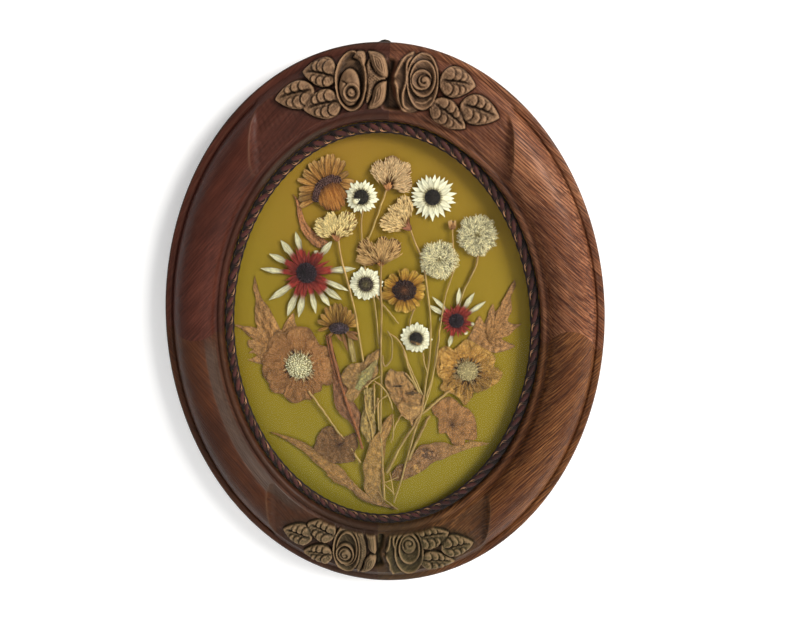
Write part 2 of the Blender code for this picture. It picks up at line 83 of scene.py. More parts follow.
JOINT_LEVEL = 15.0
PLAIN_COLUMNS, CARVED_COLUMNS = 105, 255
CARVED_START = 0.5        # share of the way along a board at which the closer columns start
SIGHT_ROWS = 6            # rows beside the sight edge, where the lighter ridges and the painted groove shade are weaker

SATIN_FRONT, GLASS_BACK = 6.0, 10.7
LAYOUT_SCALE, LAYOUT_SHIFT = 1.012, (-0.8, -1.8)
SHARP = 50                # degrees between faces past which an edge stays sharp
RIPPLE_WAVES = 6          # summed for an uneven surface


# ---- small tools ----

def srgb(red, green, blue):
    """Linear colour of an 8-bit screen colour."""
    screen = np.array((red, green, blue)) / 255.0
    return np.where(screen <= 0.04045, screen / 12.92, ((screen + 0.055) / 1.055) ** 2.4)


def rgba(colour):
    return (*(float(c) for c in colour), 1.0)


def paint(*screen):
    """Shader colour of an 8-bit screen colour."""
    return rgba(srgb(*screen))


def colours(*stops):
    """Stops of (share, linear colour), from (share, red, green, blue) and a factor where one is given."""
    return [(stop[0], srgb(*stop[1:4]) * (*stop[4:], 1.0)[0]) for stop in stops]


def place(points):
    """Metres, for points (x, z, depth) in millimetres about the oval's centre."""
    points = np.asarray(points, float)
    return np.stack([points[..., 0], BACK_Y - points[..., 2], CENTRE_Z + points[..., 1]], axis=-1) * MM


def laid_out(points):
    """Places in the oval of the layout's points (x, z) or (x, z, depth)."""
    points = np.array(points, float)
    points[..., 0] = points[..., 0] * LAYOUT_SCALE + LAYOUT_SHIFT[0]
    points[..., 1] = points[..., 1] * LAYOUT_SCALE + LAYOUT_SHIFT[1]
    return points


def rise(value, low, high):
    """Smooth step from 0 at low to 1 at high."""
    t = np.clip((value - low) / (high - low), 0.0, 1.0)
    return t * t * (3.0 - 2.0 * t)


def smooth_path(points, step):
    """Evenly spaced points on a smooth curve through the given ones."""
    p = np.array(points, float)
    s = np.concatenate([[0.0], np.cumsum(np.linalg.norm(np.diff(p, axis=0), axis=1))])
    slopes = np.gradient(p, s, axis=0)
    t = np.linspace(0.0, s[-1], max(3, int(round(s[-1] / step)) + 1))
    k = np.clip(np.searchsorted(s, t, side="right") - 1, 0, len(s) - 2)
    h = (s[k + 1] - s[k])[:, None]
    u = (t - s[k])[:, None] / h
    ease = u * u * (3.0 - 2.0 * u)
    bent = (u ** 3 - 2 * u ** 2 + u) * h * slopes[k] + (u ** 3 - u ** 2) * h * slopes[k + 1]
    return p[k] * (1 - ease) + p[k + 1] * ease + bent


def ripple(x, z, size, seed):
    """Smooth uneven waves, about -1 to 1, with crests about size apart."""
    rng = np.random.default_rng(seed)
    total = np.zeros(np.broadcast(x, z).shape)
    for _ in range(RIPPLE_WAVES):
        heading, phase = rng.uniform(0, 2 * math.pi, 2)
        pace = rng.uniform(0.7, 1.5) * 2 * math.pi / size
        total += np.sin(pace * (x * math.cos(heading) + z * math.sin(heading)) + phase)
    return total / math.sqrt(RIPPLE_WAVES)


def distance_to_path(x, z, path):
    """Distance of each point from a line through the path, and the share of the way along it."""
    best = np.full(np.shape(x), 1e9)
    share = np.zeros(np.shape(x))
    path = np.array(path, float)
    for i, (a, b) in enumerate(zip(path[:-1], path[1:])):
        run = b - a
        t = np.clip(((x - a[0]) * run[0] + (z - a[1]) * run[1]) / (run @ run), 0.0, 1.0)
        d = np.hypot(x - a[0] - t * run[0], z - a[1] - t * run[1])
        nearer = d < best
        best = np.where(nearer, d, best)
        share = np.where(nearer, (i + t) / (len(path) - 1), share)
    return best, share


def blurred(grid, reach):
    """Mean over a square of cells, along both axes."""
    for axis in (0, 1):
        padded = np.concatenate([np.repeat(grid.take([0], axis), reach, axis), grid,
                                 np.repeat(grid.take([-1], axis), reach, axis)], axis)
        total = np.cumsum(padded, axis)
        first = np.zeros_like(total.take([0], axis))
        total = np.concatenate([first, total], axis)
        n = grid.shape[axis]
        width = 2 * reach + 1
        high = total.take(range(width, width + n), axis)
        low = total.take(range(0, n), axis)
        grid = (high - low) / width
    return grid


class Sculpt:
    """Points, faces and colours of one piece, gathered before its mesh is made."""

    def __init__(self, name):
        self.name, self.count = name, 0
        self.points, self.faces, self.tints, self.grains = [], [], [], []

    def add(self, points, faces, tints, grain=None):
        """points (n, 3) in layout millimetres, faces as an array of corners, tints (n, 3) or one colour.

        grain holds millimetres along and across the fibres, and a number of its own for each part.
        """
        points = np.asarray(points, float).reshape(-1, 3)
        self.points.append(points)
        self.tints.append(np.broadcast_to(tints, points.shape).reshape(-1, 3))
        self.grains.append(points if grain is None else np.asarray(grain, float).reshape(-1, 3))
        self.faces.append(np.asarray(faces) + self.count)
        self.count += len(points)

    def shell(self, front, tints, thick, grain):
        """Closed thin sheet whose front is a grid of points (n, m, 3)."""
        n, m = front.shape[:2]
        back = front - np.array((0.0, 0.0, thick))
        corner = np.arange(n * m).reshape(n, m)
        quads = np.stack([corner[:-1, :-1], corner[1:, :-1], corner[1:, 1:], corner[:-1, 1:]], -1)
        quads = quads.reshape(-1, 4)
        rim = np.concatenate([corner[:, 0], corner[-1, 1:], corner[-2::-1, -1], corner[0, -2:0:-1]])
        after = np.roll(rim, -1)
        side = np.stack([rim, after, after + n * m, rim + n * m], -1)
        faces = np.concatenate([quads[:, ::-1], quads + n * m, side])
        tints = np.broadcast_to(tints, front.shape).reshape(-1, 3)
        self.add(np.concatenate([front.reshape(-1, 3), back.reshape(-1, 3)]), faces, np.tile(tints, (2, 1)),
                 np.tile(grain.reshape(-1, 3), (2, 1)))

    def rods(self, paths, radii, tints, sides):
        """Closed tapered rods. paths (count, rings, 3), radii (count, rings), tints (count, rings, 3)."""
        count, rings = paths.shape[:2]
        run = np.gradient(paths, axis=1)
        run /= np.maximum(np.linalg.norm(run, axis=2, keepdims=True), 1e-9)
        aside = np.cross(run, np.array((0.0, 0.0, 1.0)))
        upright = np.linalg.norm(aside, axis=2) < 1e-3
        aside[upright] = (1.0, 0.0, 0.0)
        aside /= np.linalg.norm(aside, axis=2, keepdims=True)
        above = np.cross(aside, run)
        turn = 2 * math.pi * np.arange(sides) / sides + math.pi / 2
        ring = (np.cos(turn)[:, None] * aside[:, :, None] + np.sin(turn)[:, None] * above[:, :, None])
        points = paths[:, :, None] + ring * radii[:, :, None, None]
        index = np.arange(count * rings * sides).reshape(count, rings, sides)
        after = np.roll(index, -1, axis=2)
        walls = np.stack([index[:, :-1], after[:, :-1], after[:, 1:], index[:, 1:]], -1).reshape(-1, 4)
        steps = np.linalg.norm(np.diff(paths, axis=1), axis=2)
        along = np.concatenate([np.zeros((count, 1)), np.cumsum(steps, 1)], 1)
        grain = np.zeros((count, rings, sides, 3))
        grain[..., 0] = along[:, :, None]
        grain[..., 1] = 2.0 * radii[:, :, None] * np.cos(turn)
        grain[..., 2] = (3.7 * np.arange(count) + paths[:, 0, 0])[:, None, None]
        self.add(points, walls, np.repeat(tints[:, :, None], sides, axis=2).reshape(-1, 3), grain)
        start = self.count - count * rings * sides
        for ends in (index[:, 0, ::-1], index[:, -1]):
            self.faces.append(ends.reshape(-1, sides) + start)

    def finish(self, materials, node, slot, in_layout=True):
        """The piece's object, made of all that was gathered."""
        mesh = bpy.data.meshes.new(self.name)
        points = np.concatenate(self.points)
        if in_layout:
            points = laid_out(points)
        faces = [face for block in self.faces for face in block.tolist()]
        mesh.from_pydata(place(points).tolist(), [], faces)
        attribute = mesh.attributes.new("tint", "FLOAT_COLOR", "POINT")
        tints = np.concatenate(self.tints)
        attribute.data.foreach_set("color", np.concatenate([tints, np.ones((len(tints), 1))], 1).ravel())
        attribute = mesh.attributes.new("grain", "FLOAT_VECTOR", "POINT")
        attribute.data.foreach_set("vector", np.concatenate(self.grains).ravel())
        mesh.materials.append(materials[slot])
        add_object(self.name, mesh, node)


def add_object(name, mesh, node):
    """Object of a finished mesh, riding on the frame in place of its solid."""
    bm = bmesh.new()
    bm.from_mesh(mesh)
    bmesh.ops.recalc_face_normals(bm, faces=bm.faces)
    bm.to_mesh(mesh)
    bm.free()
    mesh.shade_smooth()
    mesh.set_sharp_from_angle(angle=math.radians(SHARP))
    piece = bpy.data.objects.new(name, mesh)
    bpy.context.scene.collection.objects.link(piece)
    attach(piece, "root")
    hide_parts(node)
    return piece


# ---- shading ----

class Shade:
    """A material's nodes, made in short calls."""

    def __init__(self, name):
        self.material = bpy.data.materials.new(name)
        self.material.use_nodes = True
        self.tree = self.material.node_tree
        self.shader = self.tree.nodes["Principled BSDF"]
        self.output = self.tree.nodes["Material Output"]
        self.where = self.tree.nodes.new("ShaderNodeTexCoord").outputs["Object"]

    def node(self, kind, settings=None, **inputs):
        node = self.tree.nodes.new(kind)
        for name, value in (settings or {}).items():
            setattr(node, name, value)
        for name, value in inputs.items():
            self.set(node.inputs[name.replace("_", " ")], value)
        return node

    def set(self, socket, value):
        if isinstance(value, bpy.types.NodeSocket):
            self.tree.links.new(value, socket)
        else:
            socket.default_value = value

    def math(self, operation, first, second=0.5, clamp=False):
        node = self.tree.nodes.new("ShaderNodeMath")
        node.operation, node.use_clamp = operation, clamp
        self.set(node.inputs[0], first)
        self.set(node.inputs[1], second)
        return node.outputs[0]

    def times(self, first, second):
        return self.math("MULTIPLY", first, second)

    def plus(self, first, second):
        return self.math("ADD", first, second)

    def minus(self, first, second):
        return self.math("SUBTRACT", first, second)

    def mix(self, factor, first, second, blend="MIX"):
        node = self.tree.nodes.new("ShaderNodeMix")
        node.data_type, node.blend_type = "RGBA", blend
        for socket, value in zip((node.inputs[0], node.inputs[6], node.inputs[7]), (factor, first, second)):
            self.set(socket, value)
        return node.outputs[2]

    def span(self, value, low, high, to_low=0.0, to_high=1.0):
        node = self.node("ShaderNodeMapRange", Value=value, From_Min=low, From_Max=high, To_Min=to_low,
                         To_Max=to_high)
        return node.outputs[0]

    def attribute(self, name, output="Fac"):
        return self.node("ShaderNodeAttribute", {"attribute_name": name}).outputs[output]

    def along(self, angle, size):
        """Coordinates turned in the frame's plane so that X runs at an angle from level, sizes in metres."""
        node = self.node("ShaderNodeMapping", {"vector_type": "TEXTURE"}, Vector=self.where)
        node.inputs["Rotation"].default_value = (0.0, -angle, 0.0)
        node.inputs["Scale"].default_value = size
        return node.outputs[0]

    def noise(self, vector, scale, detail, roughness=0.5):
        node = self.node("ShaderNodeTexNoise", Vector=vector or self.where, Scale=scale, Detail=detail,
                         Roughness=roughness)
        return node.outputs["Fac"]

    def ramp(self, value, stops):
        node = self.node("ShaderNodeValToRGB", Fac=value)
        ramp = node.color_ramp
        while len(ramp.elements) < len(stops):
            ramp.elements.new(0.5)
        for element, (position, colour) in zip(ramp.elements, stops):
            element.position, element.color = position, rgba(colour)
        return node.outputs["Color"]

    def bump(self, height, distance, strength):
        return self.node("ShaderNodeBump", Height=height, Distance=distance, Strength=strength).outputs[0]

    def finish(self, **inputs):
        for name, value in inputs.items():
            self.set(self.shader.inputs[name.replace("_", " ")], value)
        return self.material


# Stained wood: the grain's angle from level, dark, middle and light tones, and how strongly the grain shows.
# The tones are partly painted light: the left boards are darker and the upper right is the lightest, as the
# light falls from the upper right, and the grain shows most on the lit right boards.
WOOD = {
    "frame_upper_left": (48, srgb(42, 20, 15), srgb(70, 34, 24), srgb(86, 44, 32), 0.25),
    "frame_upper_right": (-40, srgb(62, 30, 18), srgb(124, 75, 48), srgb(158, 106, 73), 1.0),
    "frame_lower_left": (-52, srgb(44, 22, 12), srgb(69, 36, 19), srgb(85, 48, 26), 0.35),
    "frame_lower_right": (47, srgb(58, 29, 14), srgb(105, 62, 32), srgb(135, 88, 49), 1.0),
}
LINE_STEP = 0.0055               # metres of a wave's unit: fine dark lines 1.7 mm apart along the grain

# Tones of the carving, and of the pared ground about it, partly painted light: lighter on the upper boards
# and on the right, where the light falls
CARVED_TONE = {
    "frame_upper_left": (srgb(104, 78, 56), srgb(62, 36, 28)),
    "frame_upper_right": (srgb(110, 82, 60), srgb(80, 46, 33)),
    "frame_lower_left": (srgb(84, 70, 48), srgb(50, 34, 24)),
    "frame_lower_right": (srgb(84, 72, 46), srgb(58, 44, 28)),
}


def wood_material(board):
    shade = Shade("stained_wood_" + board[6:])
    angle, dark, middle, light, strength = WOOD[board]
    turn = math.radians(angle)
    broad = shade.noise(shade.along(turn, (0.09, 0.09, 0.02)), 1.0, 3.0)
    fibre = shade.noise(shade.along(turn, (0.022, 0.003, 0.0011)), 1.0, 4.0, 0.6)
    pores = shade.noise(shade.along(turn, (0.014, 0.004, 0.00062)), 1.0, 2.0)
    streak = shade.noise(shade.along(turn, (0.05, 0.01, 0.0016)), 1.0, 2.0)
    banded = shade.along(turn, (0.03, 0.03, LINE_STEP))
    lines = shade.node("ShaderNodeTexWave", {"bands_direction": "Z"}, Vector=banded, Scale=1.0,
                       Distortion=2.6, Detail=2.0, Detail_Scale=1.4).outputs["Fac"]
    figure = shade.plus(shade.times(broad, 0.4), shade.times(fibre, 0.6))
    colour = shade.ramp(figure, [(0.30, dark), (0.46, middle), (0.60, light), (0.8, light * 1.1)])
    pore = shade.span(pores, 0.52, 0.60)
    colour = shade.mix(shade.times(pore, 0.72 * strength), colour, rgba(dark * 0.7))
    colour = shade.mix(shade.span(streak, 0.56, 0.68, 0.0, 0.6 * strength), colour, rgba(dark * 0.6))
    colour = shade.mix(shade.span(lines, 0.5, 0.95, 0.0, 0.6 * strength), colour, rgba(dark * 0.6))
    cloud = shade.noise(None, 38.0, 3.0)
    colour = shade.mix(shade.span(cloud, 0.4, 0.7, 0.0, 0.4), colour, rgba(dark))
    ribbed = shade.attribute("ribbed")
    colour = shade.mix(ribbed, colour, shade.mix(fibre, paint(38, 27, 22), paint(84, 64, 52)))
    tone, field_tone = CARVED_TONE[board]
    carved = shade.attribute("carved")
    # The pared ground takes a darker tone, partly painted shade beside the carving.
    colour = shade.mix(shade.times(shade.attribute("field"), 0.85), colour,
                       shade.mix(fibre, rgba(field_tone * 0.5), rgba(field_tone * 1.7)))
    grainy = shade.noise(shade.along(turn, (0.006, 0.002, 0.0009)), 1.0, 4.0, 0.65)
    # The carving is darker in its hollows and lighter on its high parts: painted shade and painted highlight.
    relief_shading = shade.minus(shade.attribute("relief_shading"), 0.25)
    level = shade.plus(shade.times(grainy, 1.1), relief_shading)
    carving = shade.ramp(level, [(0.34, tone * 0.2), (0.58, tone * 0.5), (0.76, tone * 0.85),
                                 (0.98, tone * 1.35)])
    colour = shade.mix(carved, colour, carving)
    # Ridges lighter, partly rubbed and partly painted highlight, and grooves darker as painted shade.
    ridge_wear_and_groove_shade = shade.attribute("ridge_wear_and_groove_shade")
    shown = shade.plus(shade.times(carved, 0.75), 0.25)
    worn = shade.times(shade.span(ridge_wear_and_groove_shade, 0.03, 0.6, 0.0, 0.34), shown)
    colour = shade.mix(worn, colour, paint(170, 136, 102))
    colour = shade.mix(shade.span(ridge_wear_and_groove_shade, -0.15, -1.3, 0.0, 0.6), colour, paint(24, 16, 12))
    # Painted shade at the outer edge and over the inner slope and lip, stronger on the left boards, which
    # face away from the light.
    edge = shade.times(shade.attribute("edge"), 0.4 if board.endswith("right") else 0.75)
    colour = shade.mix(edge, colour, paint(38, 27, 21))
    gloss = shade.span(fibre, 0.3, 0.7, 0.36, 0.5)
    gloss = shade.plus(gloss, shade.times(carved, 0.16))
    grain = shade.minus(shade.times(fibre, 0.6), shade.times(pore, strength))
    normal = shade.bump(grain, 0.00022, 0.8)
    return shade.finish(Base_Color=colour, Roughness=gloss, Normal=normal, Specular_IOR_Level=0.13)


def satin_material():
    shade = Shade("olive_satin")
    height = shade.node("ShaderNodeSeparateXYZ", Vector=shade.where).outputs["Z"]
    # Greener toward the bottom and warmer gold toward the top.
    upward_share = shade.span(height, CENTRE_Z * MM - 0.15, CENTRE_Z * MM + 0.15)
    cloud = shade.noise(None, 14.0, 2.0)
    upward_share = shade.math("ADD", upward_share, shade.span(cloud, 0.3, 0.7, -0.12, 0.12), clamp=True)
    colour = shade.ramp(upward_share, colours((0.0, 138, 121, 32), (0.45, 145, 120, 28), (1.0, 153, 114, 36)))
    thread = shade.noise(shade.along(math.radians(90), (0.02, 0.001, 0.0005)), 1.0, 2.0)
    colour = shade.mix(shade.span(thread, 0.3, 0.7, 0.0, 0.12), colour, paint(96, 84, 30))
    normal = shade.bump(thread, 0.00004, 0.6)
    return shade.finish(Base_Color=colour, Roughness=0.55, Normal=normal, Sheen_Weight=0.12,
                        Sheen_Roughness=0.4, Specular_IOR_Level=0.18)


FACING_GLOSS, GRAZING_GLOSS = 0.0045, 0.12


def glass_material():
    """Clear pane: light passes straight through, with a weak gloss that grows at grazing angles."""
    shade = Shade("glass")
    gloss = shade.node("ShaderNodeBsdfGlossy", Color=(0.9, 1.0, 0.95, 1.0), Roughness=0.03)
    clear = shade.node("ShaderNodeBsdfTransparent", Color=(0.97, 0.985, 0.97, 1.0))
    slant = shade.node("ShaderNodeLayerWeight", Blend=0.5).outputs["Facing"]
    factor = shade.plus(shade.times(shade.math("POWER", slant, 5.0), GRAZING_GLOSS), FACING_GLOSS)
    both = shade.node("ShaderNodeMixShader", Fac=factor)
    shade.tree.links.new(clear.outputs[0], both.inputs[1])
    shade.tree.links.new(gloss.outputs[0], both.inputs[2])
    shade.tree.links.new(both.outputs[0], shade.output.inputs["Surface"])
    return shade.material


def braid_material():
    shade = Shade("plum_braid")
    tint = shade.attribute("tint", "Color")
    fuzz = shade.noise(None, 1500.0, 3.0)
    colour = shade.mix(shade.span(fuzz, 0.3, 0.75, 0.0, 0.55), tint, paint(26, 14, 14))
    normal = shade.bump(fuzz, 0.0003, 0.9)
    return shade.finish(Base_Color=colour, Roughness=0.62, Normal=normal, Sheen_Weight=0.12,
                        Sheen_Roughness=0.5, Specular_IOR_Level=0.2)


def dried_material(name, streak, roughness=0.75, deep=(186, 166, 142), wrinkle=0.0):
    """Dried plant matter: the piece's own colours, with fibres, fine mottling and a papery surface."""
    shade = Shade(name)
    tint = shade.attribute("tint", "Color")
    along = shade.node("ShaderNodeVectorMath", {"operation": "MULTIPLY"})
    shade.set(along.inputs[0], shade.attribute("grain", "Vector"))
    along.inputs[1].default_value = (0.14, 1.4, 1.7)
    fibre = shade.noise(along.outputs[0], 1.0, 3.0, 0.55)
    mottle = shade.noise(None, 760.0, 4.0, 0.65)
    broad = shade.noise(None, 210.0, 2.0)
    dark = shade.mix(1.0, tint, paint(*deep), "MULTIPLY")
    pale = shade.mix(1.0, tint, rgba(srgb(255, 236, 196) * 1.25), "MULTIPLY")
    colour = shade.mix(shade.span(fibre, 0.40, 0.66, 0.0, streak * 2.6), tint, dark)
    colour = shade.mix(shade.span(fibre, 0.46, 0.28, 0.0, streak * 1.2), colour, pale)
    colour = shade.mix(shade.span(mottle, 0.45, 0.75, 0.0, streak * 1.6), colour, dark)
    colour = shade.mix(shade.span(broad, 0.45, 0.75, 0.0, streak), colour, dark)
    relief = shade.plus(shade.times(fibre, 0.7), shade.times(mottle, 0.5))
    if wrinkle:
        # Painted shade along the creases, and painted highlight beside them.
        crease = shade.noise(None, 520.0, 5.0, 0.6)
        crease = shade.math("ABSOLUTE", shade.minus(crease, 0.5))
        colour = shade.mix(shade.span(crease, 0.0, 0.03, wrinkle, 0.0), colour, dark)
        colour = shade.mix(shade.span(crease, 0.05, 0.12, 0.0, wrinkle * 0.7), colour, pale)
        relief = shade.plus(relief, shade.times(crease, 4.0))
    normal = shade.bump(relief, 0.00025, 0.8)
    return shade.finish(Base_Color=colour, Roughness=roughness, Normal=normal, Sheen_Weight=0.1,
                        Specular_IOR_Level=0.25)


def plain_materials():
    """Finishes of the solids that keep their own shape: the board, the wire and the pane."""
    shade = Shade("hardboard")
    fleck = shade.noise(None, 900.0, 4.0, 0.65)
    patch = shade.noise(None, 22.0, 3.0)
    colour = shade.ramp(fleck, colours((0.3, 92, 62, 38), (0.55, 134, 96, 60), (0.75, 162, 124, 84)))
    colour = shade.mix(shade.span(patch, 0.4, 0.7, 0.0, 0.5), colour, paint(84, 58, 38))
    board = shade.finish(Base_Color=colour, Roughness=0.85, Normal=shade.bump(fleck, 0.0003, 0.7))
    shade = Shade("dark_wire")
    worn = shade.noise(None, 700.0, 3.0)
    colour = shade.ramp(worn, colours((0.35, 38, 34, 30), (0.6, 82, 74, 64), (0.75, 110, 70, 44)))
    wire = shade.finish(Base_Color=colour, Metallic=0.85, Roughness=shade.span(worn, 0.3, 0.7, 0.35, 0.65),
                        Normal=shade.bump(worn, 0.0001, 0.5))
    return {"backing_board": board, "hanging_loop": wire, "glass": glass_material()}


# ---- carving ----

LEAF_RAISE = 3.0
MARKS = (0.24, 0.44, 0.63)       # where along a leaf its gouge marks lie
SPIRAL_HALF_WIDTH = 0.62

# Carved forms in the order they are cut, each over the last. Places are in the layout.
# leaf: base, tip, half width above and below
# lobe: outline, height, stippling, combing; hollow: outline, depth
# ring: centre, half width and height, height of its lip and of its floor; dome: the same, top and edge
# ridge and groove: path, half width, height or depth; spiral: centre, reach, turns, start, side, depth
TOP_CARVING = [
    ("hollow", [(4.4, 185), (9.0, 184), (8.4, 172), (10.0, 162), (13.5, 154), (4.4, 153)], 4.2),
    ("leaf", (-41.5, 165), (-67, 158.5), 8.0, 10.0), ("leaf", (-24.5, 158.5), (-48.5, 152.5), 9.6, 9.4),
    ("leaf", (-27.0, 172.5), (-49.5, 175.8), 11.5, 7.6),
    ("lobe", [(-6, 186), (-4.5, 179), (-1, 175.5), (4, 172), (-2, 169.5), (-4.5, 162), (-8, 157), (-9, 168),
              (-10.5, 176)], 3.0, 0.3, 0.0),
    ("lobe", [(-8.5, 189), (-3, 188.5), (2, 186), (4.6, 180), (4.4, 172.6), (0, 173.6), (-4, 177.5),
              (-6.5, 184)],
     4.2, 0.0, 0.3),
    ("lobe", [(4.4, 171), (4.2, 164), (2.5, 158), (-2, 154), (-7, 153.6), (-5, 161), (-3.4, 167), (0, 170)],
     4.2, 0.0, 0.3),
    ("ring", (-18.0, 170.4), (10.2, 18.6), 4.6, -0.4), ("dome", (-18.8, 166.6), (6.9, 11.6), 5.0, 0.9),
    ("groove", [(-24.0, 170.5), (-20.5, 168.6), (-22.0, 166.0)], 0.5, 1.2),
    ("ring", (-17.4, 163.4), (5.4, 5.8), 5.0, 2.6), ("dome", (-17.6, 163.4), (2.7, 2.9), 5.0, 3.0),
    ("spiral", (-17.4, 163.5), 2.3, 0.9, 2.2, 1, 0.8),
    ("lobe", [(-17.4, 184.5), (-15, 188.8), (-10.5, 188.6), (-8.6, 184), (-10.2, 178.6), (-13.5, 182.8)], 4.6,
     0.0, 0.25),
    ("leaf", (37.5, 171.5), (60.0, 168.5), 10.2, 9.4), ("leaf", (51.0, 157.5), (75.5, 149.4), 9.2, 9.4),
    ("leaf", (33.0, 158.5), (54.5, 142.6), 8.4, 8.6),
    ("lobe", [(21, 189), (14, 184.5), (10, 176.5), (9, 171.5), (11.5, 162), (15.5, 152), (24, 153),
              (24, 172)],
     1.4, 0.0, 0.0),
    ("ridge", [(21.5, 188.8), (16, 185.5), (12.6, 180), (10.0, 175), (8.4, 172.0)], 1.0, 3.2),
    ("ridge", [(8.4, 171.6), (10.8, 168), (11.4, 162), (13.4, 155), (18, 150.4)], 1.0, 3.2),
    ("ridge", [(21.5, 186.6), (17.6, 182.5), (17.0, 177), (16.8, 170), (14.8, 163), (15.8, 155.5),
               (20, 152.5)], 0.9, 3.0),
    ("ring", (27.0, 170.8), (10.2, 17.6), 3.9, 1.5), ("ring", (27.2, 172.4), (8.3, 11.4), 4.6, 1.9),
    ("ring", (26.4, 171.6), (6.4, 6.4), 4.9, 2.8), ("dome", (28.0, 171.0), (4.0, 4.0), 5.0, 3.2),
    ("spiral", (28.2, 171.0), 4.6, 1.25, 0.6, -1, 1.7),
    ("ridge", [(21.6, 158.5), (27.5, 157.6), (33.5, 161.5)], 0.7, 1.3),
]
BOTTOM_CARVING = [
    ("hollow", [(0.2, -146), (5.0, -146), (5.6, -156), (3.6, -164), (5.6, -174), (0.2, -177)], 3.6),
    ("leaf", (-47.5, -154.0), (-69.0, -147.2), 9.0, 9.0),
    ("leaf", (-32.0, -166.5), (-54.5, -165.2), 7.6, 9.6),
    ("leaf", (-30.5, -151.5), (-51.0, -142.0), 9.0, 9.0),
    ("lobe", [(-14, -142), (-9, -152), (-7, -162), (-9, -172), (-13, -181), (-17, -162)], 2.2, 0.3, 0.0),
    ("lobe", [(-14, -141), (-7, -142), (-2, -147), (0, -156), (-0.6, -164), (-4.8, -161.5), (-7, -152.5),
              (-10, -146)], 3.6, 0.0, 0.3),
    ("lobe", [(-4.4, -164), (-0.6, -165.5), (-0.6, -173), (-5, -179), (-12, -180.4), (-9.5, -175),
              (-8.4, -169)],
     3.6, 0.0, 0.3),
    ("ring", (-22.0, -161.6), (10.4, 19.2), 3.5, 0.8), ("ring", (-21.6, -161.0), (8.2, 14.0), 3.2, 0.7),
    ("ring", (-23.0, -164.8), (7.0, 8.6), 4.0, 1.0), ("dome", (-23.0, -165.0), (5.0, 5.4), 4.3, 1.4),
    ("spiral", (-22.8, -165.2), 4.2, 1.2, 2.4, -1, 1.3),
    ("leaf", (32.2, -166.5), (58.0, -166.4), 8.2, 8.4), ("leaf", (48.0, -156.5), (71.0, -149.6), 10.0, 8.4),
    ("leaf", (28.0, -149.5), (53.0, -142.8), 6.4, 10.4),
    ("lobe", [(18.5, -140.5), (12, -145), (9, -153), (7, -163), (10.5, -173), (14, -182), (22, -178),
              (22, -150)],
     1.2, 0.0, 0.0),
    ("ridge", [(18.5, -140.5), (13, -143.5), (10.2, -149), (9.6, -156), (6.8, -163)], 1.0, 2.6),
    ("ridge", [(6.8, -164), (9.6, -170), (11.2, -177), (13.8, -181.6)], 1.0, 2.6),
    ("ridge", [(16.6, -143.6), (13, -148.5), (13, -154.5), (16.4, -161.5)], 0.9, 2.4),
    ("ring", (24.4, -160.2), (11.0, 18.8), 3.1, 0.9), ("ring", (24.5, -157.6), (8.1, 12.2), 3.7, 1.3),
    ("dome", (24.0, -154.6), (5.6, 6.8), 3.9, 1.5), ("spiral", (24.4, -153.6), 4.6, 1.3, 2.6, 1, 1.4),
]


def inside_ellipse(x, z, centre, half):
    """About the distance inside an ellipse's edge, and the share of the way out from its centre."""
    u, v = (x - centre[0]) / half[0], (z - centre[1]) / half[1]
    out = np.hypot(u, v)
    steep = np.hypot(u / half[0], v / half[1]) / np.maximum(out, 1e-6)
    return (1.0 - out) / np.maximum(steep, 1.0 / max(half)), out


def inside_outline(x, z, corners):
    """Distance inside a smooth closed outline, less than nothing outside it."""
    ring = smooth_path(corners + corners[:1], 1.2)
    distance, _ = distance_to_path(x, z, ring)
    within = np.zeros(x.shape, bool)
    for a, b in zip(ring[:-1], ring[1:]):
        if a[1] != b[1]:
            crossing = a[0] + (z - a[1]) * (b[0] - a[0]) / (b[1] - a[1])
            within ^= ((a[1] > z) != (b[1] > z)) & (x < crossing)
    return np.where(within, distance, -distance)


def leaf_shape(x, z, base, tip, above, below):
    """Inside distance from a pointed leaf's edge, share along it, place across it, and its length."""
    ax, az = tip[0] - base[0], tip[1] - base[1]
    length = math.hypot(ax, az)
    t = ((x - base[0]) * ax + (z - base[1]) * az) / length ** 2
    across = ((z - base[1]) * ax - (x - base[0]) * az) / length * (1 if ax > 0 else -1)
    held = np.clip(t, 0.0, 1.0)
    edge = np.where(across > 0, above, below) * np.sin(math.pi * held ** 0.72) ** 0.72
    d = np.where((t > 0) & (t < 1), edge - np.abs(across), -np.hypot(across, (t - held) * length))
    return d, held, across, length


def carve_leaf(x, z, base, tip, above, below):
    """Domed leaf with a groove for its midrib and rows of rounded scales, steep toward its tip."""
    d, t, across, length = leaf_shape(x, z, base, tip, above, below)
    body = LEAF_RAISE * (0.62 + 0.38 * rise(d, 0.0, 2.4)) + 0.5 * np.exp(-((d - 0.7) / 0.6) ** 2)
    bend = across - 0.05 * length * np.sin(math.pi * t)
    body -= 1.3 * np.exp(-(bend / 0.75) ** 2) * rise(t, 0.03, 0.15) * (1 - rise(t, 0.78, 0.97))
    for k, share in enumerate(MARKS):
        for side, half in ((1, above), (-1, below)):
            reach = half * math.sin(math.pi * share ** 0.72) ** 0.72
            dx = (t - share) * length
            dy = across - side * 0.5 * reach
            radius = reach * (0.42 - 0.05 * k)
            left = radius - np.hypot(dx * 1.15, dy)
            scale = rise(left, -0.1, 0.55) * rise(dx, -1.1 * radius, 0.5 * radius)
            groove = np.exp(-((left + 0.55) / 0.5) ** 2) * rise(dx, -0.5 * radius, 0.4 * radius)
            body += 1.25 * scale - 0.6 * groove
    body += 0.12 * ripple(x, z, 2.2, 17)
    return d, body


def carve_lobe(x, z, corners, height, stipple, comb):
    d = inside_outline(x, z, corners)
    combed = comb * np.cos(d * 2 * math.pi / 1.35) * rise(d, 0.3, 1.0)
    body = height * (0.5 + 0.5 * rise(d, 0.0, 3.0)) + combed
    return d, body + stipple * ripple(x, z, 1.1, 71)


